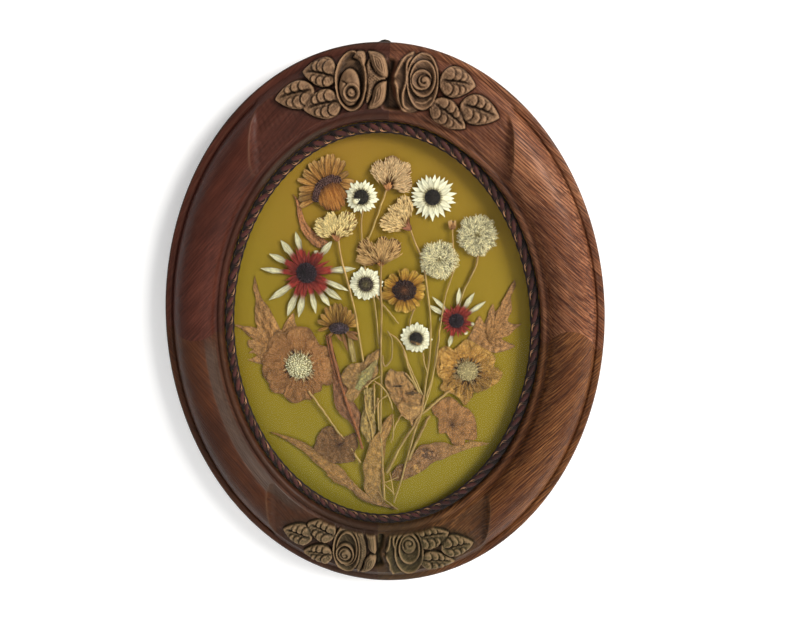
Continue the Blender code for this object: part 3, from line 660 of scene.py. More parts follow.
def carve_ring(x, z, centre, half, lip, floor):
    """Petal seen from its mouth: a high rounded lip and a floor that falls away inside it."""
    d, _ = inside_ellipse(x, z, centre, half)
    body = floor + (lip - floor) * np.exp(-(np.maximum(d - 0.5, 0.0) / 1.5) ** 1.4)
    return d, body + 0.12 * np.cos(d * 2 * math.pi / 1.2)


def carve_dome(x, z, centre, half, top, edge):
    d, out = inside_ellipse(x, z, centre, half)
    return d, edge + (top - edge) * np.sqrt(np.maximum(1.0 - out ** 2.4, 0.0))


def spiral_path(centre, reach, turns, start, side):
    """Points from a rounded bud's middle outwards, turning about it."""
    share = np.linspace(0.12, 1.0, 40)
    angle = start + side * 2 * math.pi * turns * share
    reach = reach * share
    return np.stack([centre[0] + reach * np.cos(angle), centre[1] + reach * np.sin(angle)], -1)


def carve(x, z, upper):
    """Height of the carving above the pared field, and where it is carved, for places in the oval."""
    x, z = (x - LAYOUT_SHIFT[0]) / LAYOUT_SCALE, (z - LAYOUT_SHIFT[1]) / LAYOUT_SCALE
    height, mask = np.zeros(x.shape), np.zeros(x.shape)
    makers = {"leaf": carve_leaf, "lobe": carve_lobe, "ring": carve_ring, "dome": carve_dome}
    for kind, *form in (TOP_CARVING if upper else BOTTOM_CARVING):
        if kind in makers:
            d, body = makers[kind](x, z, *form)
            inside = rise(d, -0.1, 0.6)
            height -= 0.45 * rise(d, -1.2, -0.3) * (1.0 - inside)
            height = height * (1.0 - inside) + body * inside
            mask = np.maximum(mask, rise(d, -1.0, 0.2))
        elif kind == "hollow":
            inside = rise(inside_outline(x, z, form[0]), -0.8, 2.6)
            height = height * (1.0 - inside) - form[1] * inside
            mask = np.maximum(mask, inside)
        else:
            if kind == "spiral":
                path, half_width, size = spiral_path(*form[:5]), SPIRAL_HALF_WIDTH, form[5]
            else:
                path, half_width, size = smooth_path(form[0], 1.5), form[1], form[2]
            size = size if kind == "ridge" else -size
            d, share = distance_to_path(x, z, path)
            ends = rise(share, 0.0, 0.12) * (1.0 - rise(share, 0.86, 1.0))
            height += size * np.exp(-(d / half_width) ** 2) * ends
            mask = np.maximum(mask, np.exp(-(d / half_width) ** 2) * ends)
    return height, mask


# ---- frame ----

def half_axes(inwards):
    """Half width and half height of the oval that lies this far inside the outer edge."""
    return OUTER_HALF_WIDTH - inwards, OUTER_HALF_HEIGHT - inwards * RAIL_TOP / RAIL_SIDE


def front_surface(x, z, inwards, depth, upper, right):
    """Depth of the rail's front, with its field pared and carved, and where it is carved and ribbed."""
    field = FIELD_HALF_TOP if upper else FIELD_HALF_BOTTOM
    past = np.maximum(np.abs(x) - field + 6.0, 0.0)
    filled = np.maximum(depth, BEAD_DEPTH + COVE_SLOPE * (inwards - OUTER_BEAD))
    cove = (inwards > OUTER_BEAD) & (inwards < OUTER_GROOVE)
    depth = np.where(cove, depth + (filled - depth) * (1 - rise(past, 0.0, 6.0)), depth)
    ground = FIELD_DEPTH - 0.12 * np.abs(inwards - 22.0) + SCOOP * past ** 2
    ground += 0.10 * ripple(x, z, 5.0, 11)
    within = (inwards > CARVED_FROM - 1.5) & (inwards < CARVED_TO + 1.0)
    pared = np.where(within, np.minimum(depth, ground), depth)
    height, mask = carve(x, z, upper)
    band = rise(inwards, CARVED_FROM - 1.0, CARVED_FROM + 1.0)
    band = band * (1 - rise(inwards, CARVED_TO - 1.0, CARVED_TO + 1.0))
    cut = band * rise(-np.abs(x), -field, -field + 4.0)
    mask = mask * cut
    surface = pared + height * cut
    surface += 0.05 * ripple(x, z, 13.0, 5 + upper + 2 * right)
    ribbed = np.zeros(x.shape)
    if not upper and not right:       # fine ribs along the inner slope
        ribbed = rise(inwards, 30.6, 31.6) * (1 - rise(inwards, 36.8, 37.6)) * rise(-z, -6.0, 20.0)
        ribbed *= (1 - rise(-z, 128.0, 142.0))
        surface += ribbed * (0.14 * np.sin(inwards * 2 * math.pi / 1.1) - 0.25)
    if upper and not right:           # fine notches across the sight edge
        notched = rise(inwards, 40.0, 40.6) * rise(z, 98.0, 108.0) * rise(-x, 30.0, 38.0)
        ribbed = np.maximum(ribbed, notched)
        surface += notched * 0.12 * np.sin(x * 2 * math.pi / 1.2)
    return np.minimum(surface, HIGHEST), mask, ribbed


def field_tone(mask, inwards, x, upper):
    """Share of the pared ground's darker tone: all over the field, and most beside the carving and at its
    middle, partly as painted shade in the recesses.
    """
    half = FIELD_HALF_TOP if upper else FIELD_HALF_BOTTOM
    ground = rise(inwards, 1.5, 6.0) * (1.0 - rise(inwards, 35.0, 37.5))
    ground = ground * rise(-np.abs(x), -half - 2.0, -half + 3.0)
    middle = (0.85 if upper else 1.0) * (1.0 - rise(np.abs(x), 12.0, 50.0 if upper else 75.0))
    return np.maximum(ground * (0.5 + 0.5 * np.minimum(3.0 * blurred(mask, 9), 1.0)), middle)


def joint_angle(inwards, depth, right, upper):
    """Angle round the oval at which a board's side joint lies, for each row of its section."""
    side = (RIGHT_JOINT_RISE, RIGHT_JOINT_SLOPE) if right else (LEFT_JOINT_RISE, LEFT_JOINT_SLOPE)
    z = side[0] + side[1] * (depth - JOINT_LEVEL) + (JOINT_GAP / 2 if upper else -JOINT_GAP / 2)
    return np.arcsin(z / half_axes(inwards)[1])


def belts(corner, after):
    """Quads between each row of corners and the next; after holds each corner's neighbour round its row."""
    return np.stack([corner[:-1], after[:-1], after[1:], corner[1:]], -1).reshape(-1, 4)


def make_board(name):
    """Quarter of the rail, from its joint at the side to the joint at the top or the bottom."""
    upper, right = "upper" in name, "right" in name
    front = smooth_path(FRONT, ROW_STEP)
    section = np.concatenate([front, REBATE])
    inwards, depth = section[:, 0], section[:, 1]
    on_front = np.arange(len(section)) < len(front)
    t = np.concatenate([np.linspace(0, CARVED_START, PLAIN_COLUMNS, endpoint=False),
                        np.linspace(CARVED_START, 1, CARVED_COLUMNS)])[:, None]
    start = joint_angle(inwards, depth, right, upper)
    half_x, half_z = half_axes(inwards)
    joint = TOP_JOINT if upper else BOTTOM_JOINT
    reach = JOINT_GAP / 2 + (joint if right else -joint)
    end = np.arccos(reach / half_x) * (1 if upper else -1)
    angle = start + (end - start) * t
    x = half_x * np.cos(angle) * (1 if right else -1)
    z = half_z * np.sin(angle)
    surface, mask, ribbed = front_surface(x, z, np.broadcast_to(inwards, x.shape),
                                          np.broadcast_to(depth, x.shape), upper, right)
    y = np.where(on_front, surface, depth)
    # Painted light on the relief: from the fine difference of heights, ridges lighter and grooves darker;
    # from the broad one, hollows darker and high parts lighter.
    ridge_wear_and_groove_shade = np.where(on_front, y - blurred(y, 3), 0.0)
    ridge_wear_and_groove_shade[:, len(front) - SIGHT_ROWS:] *= 0.3
    relief_shading = np.clip(0.36 + 0.2 * (y - blurred(y, 8)), 0.0, 0.8)
    field = field_tone(mask, np.broadcast_to(inwards, x.shape), x, upper)
    columns, rows = x.shape
    corner = np.arange(columns * rows).reshape(columns, rows)
    following = np.roll(corner, -1, axis=1)
    faces = belts(corner, following).tolist() + [corner[0].tolist(), corner[-1][::-1].tolist()]
    mesh = bpy.data.meshes.new(name + "_wood")
    mesh.from_pydata(place(np.stack([x, z, y], -1)).reshape(-1, 3).tolist(), [], faces)
    # Painted shade at the outer edge and over the inner slope and lip.
    edge = np.broadcast_to(1.0 - rise(inwards, 0.2, 1.6) + 0.45 * rise(inwards, 36.6, 38.6), x.shape)
    marks = {"carved": mask, "ridge_wear_and_groove_shade": ridge_wear_and_groove_shade, "ribbed": ribbed, "edge": edge, "relief_shading": relief_shading, "field": field}
    for label, values in marks.items():
        attribute = mesh.attributes.new(label, "FLOAT", "POINT")
        attribute.data.foreach_set("value", np.where(on_front, values, 0.0).ravel())
    mesh.materials.append(wood_material(name))
    add_object(name + "_wood", mesh, name)


# ---- satin and braid ----

BOARD_EDGE = 34.6            # the backing board's edge, inside the frame's outer edge
SATIN_THICK = 0.3
BRAID_MIDDLE = 46.8          # the braid's middle line, inside the frame's outer edge
BRAID_BACK = 13.05
BRAID_TURNS = 43             # how often the two plum strands wind round each other
BRAID_STEPS = 1120


def make_satin():
    """Cloth stretched over the backing board, with the faintest waves."""
    rings, sides = 18, 120
    half_x, half_z = half_axes(BOARD_EDGE)
    turn = 2 * math.pi * np.arange(sides) / sides
    share = np.linspace(0.0, 1.0, rings + 1)[1:, None]
    x, z = share * half_x * np.cos(turn), share * half_z * np.sin(turn)
    depth = SATIN_FRONT - 0.12 + 0.05 * ripple(x, z, 46.0, 3)
    points = np.concatenate([[[0.0, 0.0, SATIN_FRONT - 0.1]], np.stack([x, z, depth], -1).reshape(-1, 3)])
    corner = 1 + np.arange(rings * sides).reshape(rings, sides)
    after = np.roll(corner, -1, axis=1)
    quads = belts(corner, after)
    middle = np.stack([np.zeros(sides, int), corner[0], after[0]], -1)
    n = len(points)
    rim = np.stack([corner[-1], after[-1], after[-1] + n, corner[-1] + n], -1)
    faces = quads.tolist() + middle.tolist() + (quads[:, ::-1] + n).tolist() + (middle[:, ::-1] + n).tolist()
    faces += rim.tolist()
    mesh = bpy.data.meshes.new("satin")
    both = np.concatenate([points, points - np.array((0.0, 0.0, SATIN_THICK))])
    mesh.from_pydata(place(both).tolist(), [], faces)
    mesh.materials.append(satin_material())
    satin = add_object("satin", mesh, "satin_ground")


def braid_point(turn, across, height):
    """Point on the braid: turn round the oval, millimetres across it from its middle, and above its back."""
    half_x, half_z = half_axes(BRAID_MIDDLE - across)
    return np.stack([half_x * np.cos(turn), half_z * np.sin(turn), BRAID_BACK + height], -1)


def make_braid():
    """Two fat plum strands wound together, gold threads over them, and a dark cord at each side."""
    braid = Sculpt("gimp_braid")
    plum, deep, gold = srgb(72, 34, 28), srgb(25, 14, 9), srgb(214, 156, 112)
    turn = np.linspace(0, 2 * math.pi, BRAID_STEPS, endpoint=False)
    phase = turn * BRAID_TURNS + 0.35 * np.sin(turn * 7 + 1.0) + 0.25 * np.sin(turn * 19)
    for k in range(2):
        wound = phase + k * math.pi
        across = 1.25 * np.sin(wound)
        height = 0.95 + 0.40 * np.cos(wound)
        # Painted shade: each strand darker where it dips under the other.
        tone = deep + (plum - deep) * rise(np.cos(wound), -0.2, 0.9)[:, None]
        # Uneven at random, and darker on the right and lighter on the left and at the top: painted light, as
        # the rail shades the right side.
        uneven = 1.0 + 0.25 * np.sin(turn * 13 + k) - 0.25 * np.cos(turn) + 0.15 * np.sin(turn)
        tone = tone * uneven[:, None]
        add_ring(braid, braid_point(turn, across, height), 1.5, 0.80, tone, 8)
    for k in range(2):
        for twin in (-0.22, 0.22):
            wound = phase + k * math.pi + math.pi / 2 + twin
            sweep = np.tanh(2.6 * np.sin(wound)) / math.tanh(2.6)
            across = 2.35 * sweep
            height = 1.0 + 0.88 * np.cos(wound)
            # Dark where a thread dips under the strands, as painted shade; gold where it rides high on the
            # inner side.
            bright = rise(np.cos(wound), -0.1, 0.6) * rise(-across, 0.4, 1.9)
            bright = bright * (0.55 + 0.45 * np.sin(turn * 31 + 5 * k) * np.sin(turn * 11))
            tone = deep + (gold - deep) * bright[:, None]
            add_ring(braid, braid_point(turn, across, height), 0.24, 0.24, tone, 5)
    for side in (-1, 1):
        across = side * (2.7 + 0.15 * np.sin(phase * 2.5))
        middle = braid_point(turn, across, 0.5 + 0.1 * np.cos(phase * 2.5))
        add_ring(braid, middle, 0.68, 0.45, deep)
    braid.finish({"plum_braid": braid_material()}, "braid", "plum_braid", in_layout=False)


def add_ring(sculpt, middle, half_width, half_height, tone, sides=6):
    """Closed cord round the oval, of oval section."""
    steps = len(middle)
    run = np.roll(middle, -1, 0) - np.roll(middle, 1, 0)
    aside = np.stack([run[:, 1], -run[:, 0]], -1)
    aside /= np.linalg.norm(aside, axis=1, keepdims=True)
    turn = 2 * math.pi * np.arange(sides) / sides
    points = np.repeat(middle[:, None], sides, 1)
    points[..., :2] += half_width * np.cos(turn)[None, :, None] * aside[:, None]
    points[..., 2] += half_height * np.sin(turn)[None]
    corner = np.arange(steps * sides).reshape(steps, sides)
    quads = np.stack([corner, np.roll(corner, -1, 1), np.roll(np.roll(corner, -1, 1), -1, 0),
                      np.roll(corner, -1, 0)], -1).reshape(-1, 4)
    tone = np.broadcast_to(tone, (steps, 3))
    sculpt.add(points, quads, np.repeat(tone[:, None], sides, 1).reshape(-1, 3))


# ---- parts of flowers and leaves ----

FRONT_LIMIT = GLASS_BACK - 0.15
SHEET_THICK = 0.14               # crumpled leaves and blooms
GOLDEN_ANGLE = 2.39996           # radians


def blend(stops, share):
    """Colour at each share of the way through (share, colour) stops."""
    at = [stop[0] for stop in stops]
    return np.stack([np.interp(share, at, [stop[1][k] for stop in stops]) for k in range(3)], -1)


def polar(centre, angle, reach):
    """Point at an angle in degrees and a distance from the centre."""
    turn = math.radians(angle)
    return centre[0] + reach * math.cos(turn), centre[1] + reach * math.sin(turn)


def strip(sculpt, path, half, depth, tint, across=5, cup=0.0, ruffle=0.0, crumple=0.0, ragged=0.0, rib=0.0,
          edge=-0.45, thick=0.13, seed=0, notch=0.0, rounding=0.0, pleat=0.0):
    """Thin strip along a path (n, 2) with its half width, depth and colour at each step."""
    run = np.gradient(path, axis=0)
    run /= np.maximum(np.linalg.norm(run, axis=1, keepdims=True), 1e-9)
    side = np.stack([-run[:, 1], run[:, 0]], -1)
    s = np.concatenate([[0.0], np.cumsum(np.linalg.norm(np.diff(path, axis=0), axis=1))])
    share = s / s[-1]
    w = np.linspace(-1, 1, across)
    uneven = 1.0 + ragged * ripple(s[:, None], 9.0 * np.sign(w)[None] + seed * 1.7, 2.6, seed)
    offset = half[:, None] * w * np.maximum(uneven, 0.1)
    pulled = -(notch * np.exp(-(w / 0.3) ** 2) + rounding * np.abs(w) ** 2.5) * half.max()
    ahead = share[:, None] ** 5 * pulled
    flat = path[:, None] + side[:, None] * offset[..., None] + run[:, None] * ahead[..., None]
    height = depth[:, None] + cup * half[:, None] * w ** 2
    wave = np.sin(s[:, None] * 1.9 + seed + 1.3 * np.sign(w)) * np.abs(w) ** 1.6
    height = height + ruffle * wave * rise(share, 0.05, 0.4)[:, None]
    fold = np.cos(w * (8.0 + seed % 3) + seed)[None] * rise(share, 0.1, 0.5)[:, None]
    height = height + crumple * ripple(flat[..., 0], flat[..., 1], 4.2, seed + 1) + 0.3 * pleat * fold
    height = np.clip(height, SATIN_FRONT + thick + 0.04, FRONT_LIMIT)
    ribbed = 1.0 - rib * np.exp(-(w / 0.16) ** 2)
    colour = np.broadcast_to(tint[:, None], (*height.shape, 3)) * ribbed[:, None]
    # Painted shade: darker toward the sides, at the gaps between overlapping pieces, and in the low parts of
    # the pleats, which are lighter on their crests.
    colour = colour * (1.0 + edge * np.abs(w) ** 4)[:, None] * (1.0 + 0.4 * pleat * fold)[..., None]
    grain = np.stack([np.broadcast_to(s[:, None], height.shape), offset,
                      np.full(height.shape, seed * 5.3)], -1)
    sculpt.shell(np.concatenate([flat, height[..., None]], -1), colour, thick, grain)


def petal(sculpt, root, tip, half, depths, stops, *, peak, waist=0.35, blunt=0.5, bend=0.0, rows=10,
          shade=1.0, square=0.0, **manner):
    """Petal from root to tip. depths at its root, middle and tip; stops are colours along it."""
    s = np.linspace(0.0, 1.0, rows)
    root, tip = np.array(root, float), np.array(tip, float)
    run = tip - root
    bowed = bend * np.sin(math.pi * s * 0.5) ** 2
    path = root + run * s[:, None] + np.array((-run[1], run[0])) * bowed[:, None]
    past = np.clip((s - peak) / (1 - peak), 0, 1)
    end = (1 - past ** (1 + 1.5 * blunt)) ** (1 - 0.5 * blunt)
    width = waist + (1 - waist) * np.sin(math.pi / 2 * np.minimum(s / peak, 1.0))
    width = width * (square + (1 - square) * end)
    depth = (1 - s) ** 2 * depths[0] + 2 * s * (1 - s) * depths[1] + s ** 2 * depths[2]
    strip(sculpt, path, half * width + 0.05, depth, blend(stops, s) * shade, **manner)


def crumpled(x, z, seed):
    """Large and small creases together."""
    return ripple(x, z, 6.5, seed) + 0.5 * ripple(x, z, 2.4, seed + 9)


def fan_sheet(sculpt, heart, outline, depth, stops, crumple, veins, seed, rings=14):
    """Crumpled thin sheet spread from its heart to a closed outline, veined outwards."""
    ring = smooth_path(outline + outline[:1], 1.0)
    share = np.linspace(0.03, 1.0, rings)[:, None]
    spoke = ring - np.array(heart, float)
    x, z = heart[0] + share * spoke[:, 0], heart[1] + share * spoke[:, 1]
    angle = np.arctan2(spoke[:, 1], spoke[:, 0])
    vein = np.sin(11 * angle + 2.0 * np.sin(3 * angle + seed) + 2.5 * share)
    folds = crumpled(x, z, seed)
    height = depth + 0.4 * (1 - share ** 2) + crumple * folds + 0.12 * vein * share
    height = np.clip(height, SATIN_FRONT + SHEET_THICK + 0.04, FRONT_LIMIT)
    # Painted light: lighter on the raised folds and darker in their hollows, and darker at the rim as painted
    # shade.
    uneven = 1 + veins * vein * share + 0.13 * folds
    tone = blend(stops, np.broadcast_to(share, x.shape)) * uneven[..., None]
    tone = tone * (1 - 0.35 * rise(share, 0.92, 1.0))[..., None]
    along = share * np.hypot(spoke[:, 0], spoke[:, 1])
    grain = np.stack([along, np.broadcast_to(9.0 * angle, x.shape), np.full(x.shape, seed * 5.3)], -1)
    sculpt.shell(np.stack([x, z, height], -1), tone, SHEET_THICK, grain)


def loft_sheet(sculpt, near, far, depths, stops, crumple, streaks, seed, rows=80, across=15):
    """Crumpled thin sheet between two edges that run the same way, its depth following depth stops."""
    edges = []
    for edge in (near, far):
        path = smooth_path(edge, 0.4)
        edges.append(path[np.linspace(0, len(path) - 1, rows).round().astype(int)])
    w = np.linspace(0.0, 1.0, across)
    flat = edges[0][:, None] * (1 - w)[:, None] + edges[1][:, None] * w[:, None]
    x, z = flat[..., 0], flat[..., 1]
    s = np.linspace(0.0, 1.0, rows)[:, None]
    folds = crumpled(x, z, seed)
    streak = np.sin(w * 19 + seed + 1.5 * np.sin(4 * s + seed))
    middle = 2 * w - 1
    height = np.interp(s, np.linspace(0, 1, len(depths)), depths) + 0.3 * (1 - middle ** 2) + crumple * folds
    height = np.clip(height + 0.1 * streak, SATIN_FRONT + SHEET_THICK + 0.04, FRONT_LIMIT)
    # Painted light: lighter on the raised folds and darker in their hollows, and darker along both edges as
    # painted shade.
    tone = blend(stops, np.broadcast_to(s, x.shape)) * (1 + streaks * streak + 0.13 * folds)[..., None]
    tone = tone * (1 - 0.35 * np.abs(middle) ** 7)[:, None]
    length = np.linalg.norm(np.diff(flat[:, across // 2], axis=0), axis=1).sum()
    grain = np.stack([np.broadcast_to(s * length, x.shape), np.broadcast_to(3.0 * middle, x.shape),
                      np.full(x.shape, seed * 5.3)], -1)
    sculpt.shell(np.concatenate([flat, height[..., None]], -1), tone, SHEET_THICK, grain)


def dome(sculpt, centre, radii, depth, height, stops, rings=7, sides=28, crumple=0.0, seed=0):
    """Closed low mound, coloured from its middle outwards."""
    turn = 2 * math.pi * np.arange(sides) / sides
    share = np.linspace(0, 1, rings + 1)[1:, None]
    x = centre[0] + share * radii[0] * np.cos(turn)
    z = centre[1] + share * radii[1] * np.sin(turn)
    bumps = crumple * ripple(x, z, 2.4, seed) * (1 - share ** 6)
    up = depth + height * np.sqrt(np.maximum(1 - share ** 2, 0)) + bumps
    up = np.clip(up, SATIN_FRONT + 0.2, FRONT_LIMIT)
    low = np.full((1, sides), min(depth, SATIN_FRONT + 0.6) - 0.35)
    points = np.concatenate([np.stack([x, z, up], -1), np.stack([x[-1:], z[-1:], low], -1)]).reshape(-1, 3)
    points = np.concatenate([points, [[*centre, min(depth + height, FRONT_LIMIT)], [*centre, low[0, 0]]]])
    corner = np.arange((rings + 1) * sides).reshape(rings + 1, sides)
    after = np.roll(corner, -1, 1)
    quads = np.stack([corner[:-1], corner[1:], after[1:], after[:-1]], -1).reshape(-1, 4)
    top = np.stack([np.full(sides, len(points) - 2), corner[0], after[0]], -1)
    base = np.stack([np.full(sides, len(points) - 1), after[-1], corner[-1]], -1)
    tints = blend(stops, np.broadcast_to(share, x.shape)).reshape(-1, 3)
    tints = np.concatenate([tints, tints[-sides:], [stops[0][1]], [stops[-1][1]]])
    start = sculpt.count
    sculpt.add(points, quads, tints)
    sculpt.faces += [top + start, base + start]


def florets(sculpt, centre, radii, depth, height, count, size, stops, seed, tall):
    """Packed beads over a mound, set by the golden angle."""
    rng = np.random.default_rng(seed)
    k = np.arange(count)
    r = np.sqrt((k + 0.5) / count)
    turn = k * GOLDEN_ANGLE + rng.uniform(-0.15, 0.15, count)
    r = r + rng.uniform(-0.02, 0.02, count)
    x, z = centre[0] + radii[0] * r * np.cos(turn), centre[1] + radii[1] * r * np.sin(turn)
    foot = depth + height * np.sqrt(np.maximum(1 - r ** 2, 0.0)) - 0.15
    s = np.array((0.0, 0.5, 0.9, 1.0))
    length = tall * rng.uniform(0.6, 1.25, count)
    lean = size * 0.9 * r
    paths = np.stack([x[:, None] + np.outer(lean * np.cos(turn), s),
                      z[:, None] + np.outer(lean * np.sin(turn), s),
                      np.minimum(foot[:, None] + np.outer(length, s), FRONT_LIMIT + 0.02 * s)], -1)
    widths = size * rng.uniform(0.75, 1.2, count)[:, None] * np.array((0.8, 1.0, 0.6, 0.1))
    tone = blend(stops, r)[:, None] * rng.uniform(0.6, 1.35, count)[:, None, None]
    # Each bead darker toward its foot, as painted shade between the beads.
    tone = tone * np.array((0.45, 0.8, 1.1, 1.2))[:, None]
    sculpt.rods(paths, widths, tone, 5)


def spray(sculpt, roots, headings, lengths, depth, lift, width, stops, rng, curl, rings):
    """Fine tapered hairs from their roots, in their headings."""
    count = len(lengths)
    s = np.linspace(0, 1, rings)
    bend = curl * rng.uniform(-1, 1, count)
    heading = headings[:, None] + bend[:, None] * s
    x = roots[:, :1] + lengths[:, None] * s * np.cos(heading)
    z = roots[:, 1:] + lengths[:, None] * s * np.sin(heading)
    up = depth + lift * rng.uniform(0.0, 1.0, count)[:, None] * np.sin(math.pi * s * 0.75)
    up = np.clip(up, SATIN_FRONT + 0.25, FRONT_LIMIT - 0.1)
    radii = width * rng.uniform(0.7, 1.3, count)[:, None] * (1.0 - 0.6 * s)
    # About a third of the hairs are dark, as painted shade in the gaps between them.
    tone = blend(stops, s)[None] * np.where(rng.uniform(0, 1, count) < 0.35, 0.38, 1.15)[:, None, None]
    tone = tone * rng.uniform(0.75, 1.2, count)[:, None, None]
    sculpt.rods(np.stack([x, z, up], -1), radii, tone, 3)


# ---- the bouquet: places in the layout ----

def daisy_disc(sculpt, centre, radii, depth, tones, count, seed, tall=0.45, height=0.7):
    """Low dark mound packed with beads, toned from its middle outwards."""
    # The mound is darker than the beads on it, as painted shade in the gaps between them.
    dark = [(0.0, tones[0] * 0.5), (1.0, tones[-1] * 0.45)]
    dome(sculpt, centre, radii, depth, height, dark)
    beads = [(i / (len(tones) - 1), tone) for i, tone in enumerate(tones)]
    florets(sculpt, centre, (radii[0] * 0.95, radii[1] * 0.95), depth, height, count,
            radii[0] * 0.95 / math.sqrt(count), beads, seed, tall)


OCHRE_STRAPS = [                 # where each strap of the fan grows from and where it ends
    ((-43.5, 95.5), (-54.6, 88.0)), ((-43.8, 97.0), (-56.0, 92.5)), ((-44.0, 99.0), (-55.8, 96.6)),
    ((-43.5, 101.5), (-55.6, 100.8)), ((-43.0, 103.5), (-56.5, 106.8)), ((-42.5, 105.0), (-53.0, 110.5)),
    ((-41.5, 106.0), (-51.8, 113.6)), ((-40.5, 107.5), (-48.8, 117.6)), ((-39.0, 108.5), (-45.6, 119.8)),
    ((-37.8, 109.5), (-41.8, 119.8)), ((-36.8, 110.0), (-39.0, 122.6)), ((-35.5, 110.3), (-35.8, 124.2)),
    ((-33.0, 110.3), (-31.4, 124.3)), ((-31.7, 110.0), (-28.4, 122.0)), ((-30.6, 109.3), (-25.0, 120.4)),
    ((-29.3, 108.0), (-21.5, 112.5)), ((-28.6, 106.8), (-18.0, 106.4)), ((-28.6, 105.0), (-19.0, 102.6)),
]
OCHRE_FOLDED = [                 # the petals folded down over the disc, as the straps
    ((-40.6, 98.0), (-38.8, 89.6)), ((-39.4, 101.4), (-35.3, 86.9)), ((-37.2, 103.4), (-31.6, 86.4)),
    ((-34.8, 104.8), (-27.8, 87.0)), ((-32.6, 105.8), (-24.8, 90.0)), ((-30.4, 106.2), (-23.0, 95.2)),
]


def inward(root, tip, far):
    """Point a little way back from the root, away from the tip."""
    length = math.hypot(root[0] - tip[0], root[1] - tip[1])
    return tuple(root[i] + (root[i] - tip[i]) * far / length for i in range(2))


def make_ochre_daisy(materials):
    daisy = Sculpt("ochre_daisy_petals")
    rng = np.random.default_rng(21)
    stops = colours((0.0, 110, 64, 30), (0.3, 176, 122, 56), (0.75, 202, 150, 82), (1.0, 222, 178, 112))
    for k, (root, tip) in enumerate(OCHRE_STRAPS):
        high = k % 2 * 0.35
        dim = 0.6 if k in (1, 15) else 1.0
        petal(daisy, inward(root, tip, 2.5), tip, rng.uniform(1.8, 2.3), (8.4 + high, 8.5 + high, 7.5), stops,
              waist=0.42, peak=0.72, blunt=0.8, square=0.5, notch=rng.uniform(0.1, 0.6), rounding=0.25,
              cup=0.12, shade=dim * rng.uniform(0.78, 1.12), seed=k, rib=0.22, ragged=0.07,
              bend=rng.uniform(-0.05, 0.05), across=7, edge=-0.75, rows=12)
    crescent = [(-43.6, 95.0), (-42.6, 99.6), (-40.8, 103.6), (-37.4, 106.6), (-33.4, 108.0), (-29.0, 107.4)]
    for number, (x, z) in enumerate(smooth_path(crescent, 1.5)):
        dome(daisy, (x, z), (2.9, 2.9), 8.5, 0.7, colours((0.0, 74, 46, 40), (1.0, 52, 32, 30)), 3, 14)
        florets(daisy, (x, z), (2.6, 2.6), 8.6, 0.7, 14, 0.5, colours((0.0, 112, 80, 76), (1.0, 112, 82, 82)),
                number, 0.7)
    folded = colours((0.0, 104, 62, 32), (0.3, 178, 116, 50), (0.8, 182, 122, 58), (1.0, 150, 98, 50))
    for k, (root, tip) in enumerate(OCHRE_FOLDED):
        petal(daisy, root, tip, (2.4, 2.8, 2.8, 2.6, 2.6, 2.3)[k], (9.4, 9.9, 8.4), folded, waist=0.6,
              peak=0.55, blunt=0.8, square=0.35, notch=0.3, cup=-0.1, rib=0.16, ruffle=0.1,
              shade=rng.uniform(0.7, 1.2), seed=40 + k, ragged=0.06, across=7, edge=-0.8, rows=12)
    daisy.finish(materials, "ochre_daisy", "ochre_petals")


WHITE_DAISIES = {
    # name: centre, reach, petals, half width, blunt, disc radius, depth, disc tones, seed
    "small_white_daisy": ((-13.0, 96.5), 12.0, 13, 1.8, 0.25, 5.4, 8.95, ((58, 50, 42), (44, 38, 34)), 3),
    "large_white_daisy": ((34.5, 97.5), 16.0, 15, 2.1, 0.15, 5.7, 8.95, ((52, 42, 38), (42, 34, 34)), 5),
    "middle_white_daisy": ((-9.8, 37.0), 12.0, 20, 1.8, 0.9, 5.4, 8.95, ((110, 98, 66), (62, 46, 50)), 7),
    "lower_white_daisy": ((25.5, -0.5), 11.4, 17, 1.8, 0.7, 5.0, 8.6, ((50, 42, 40), (46, 38, 36)), 9),
}


RIM_FLORETS = 26             # short ones round a white daisy's disc


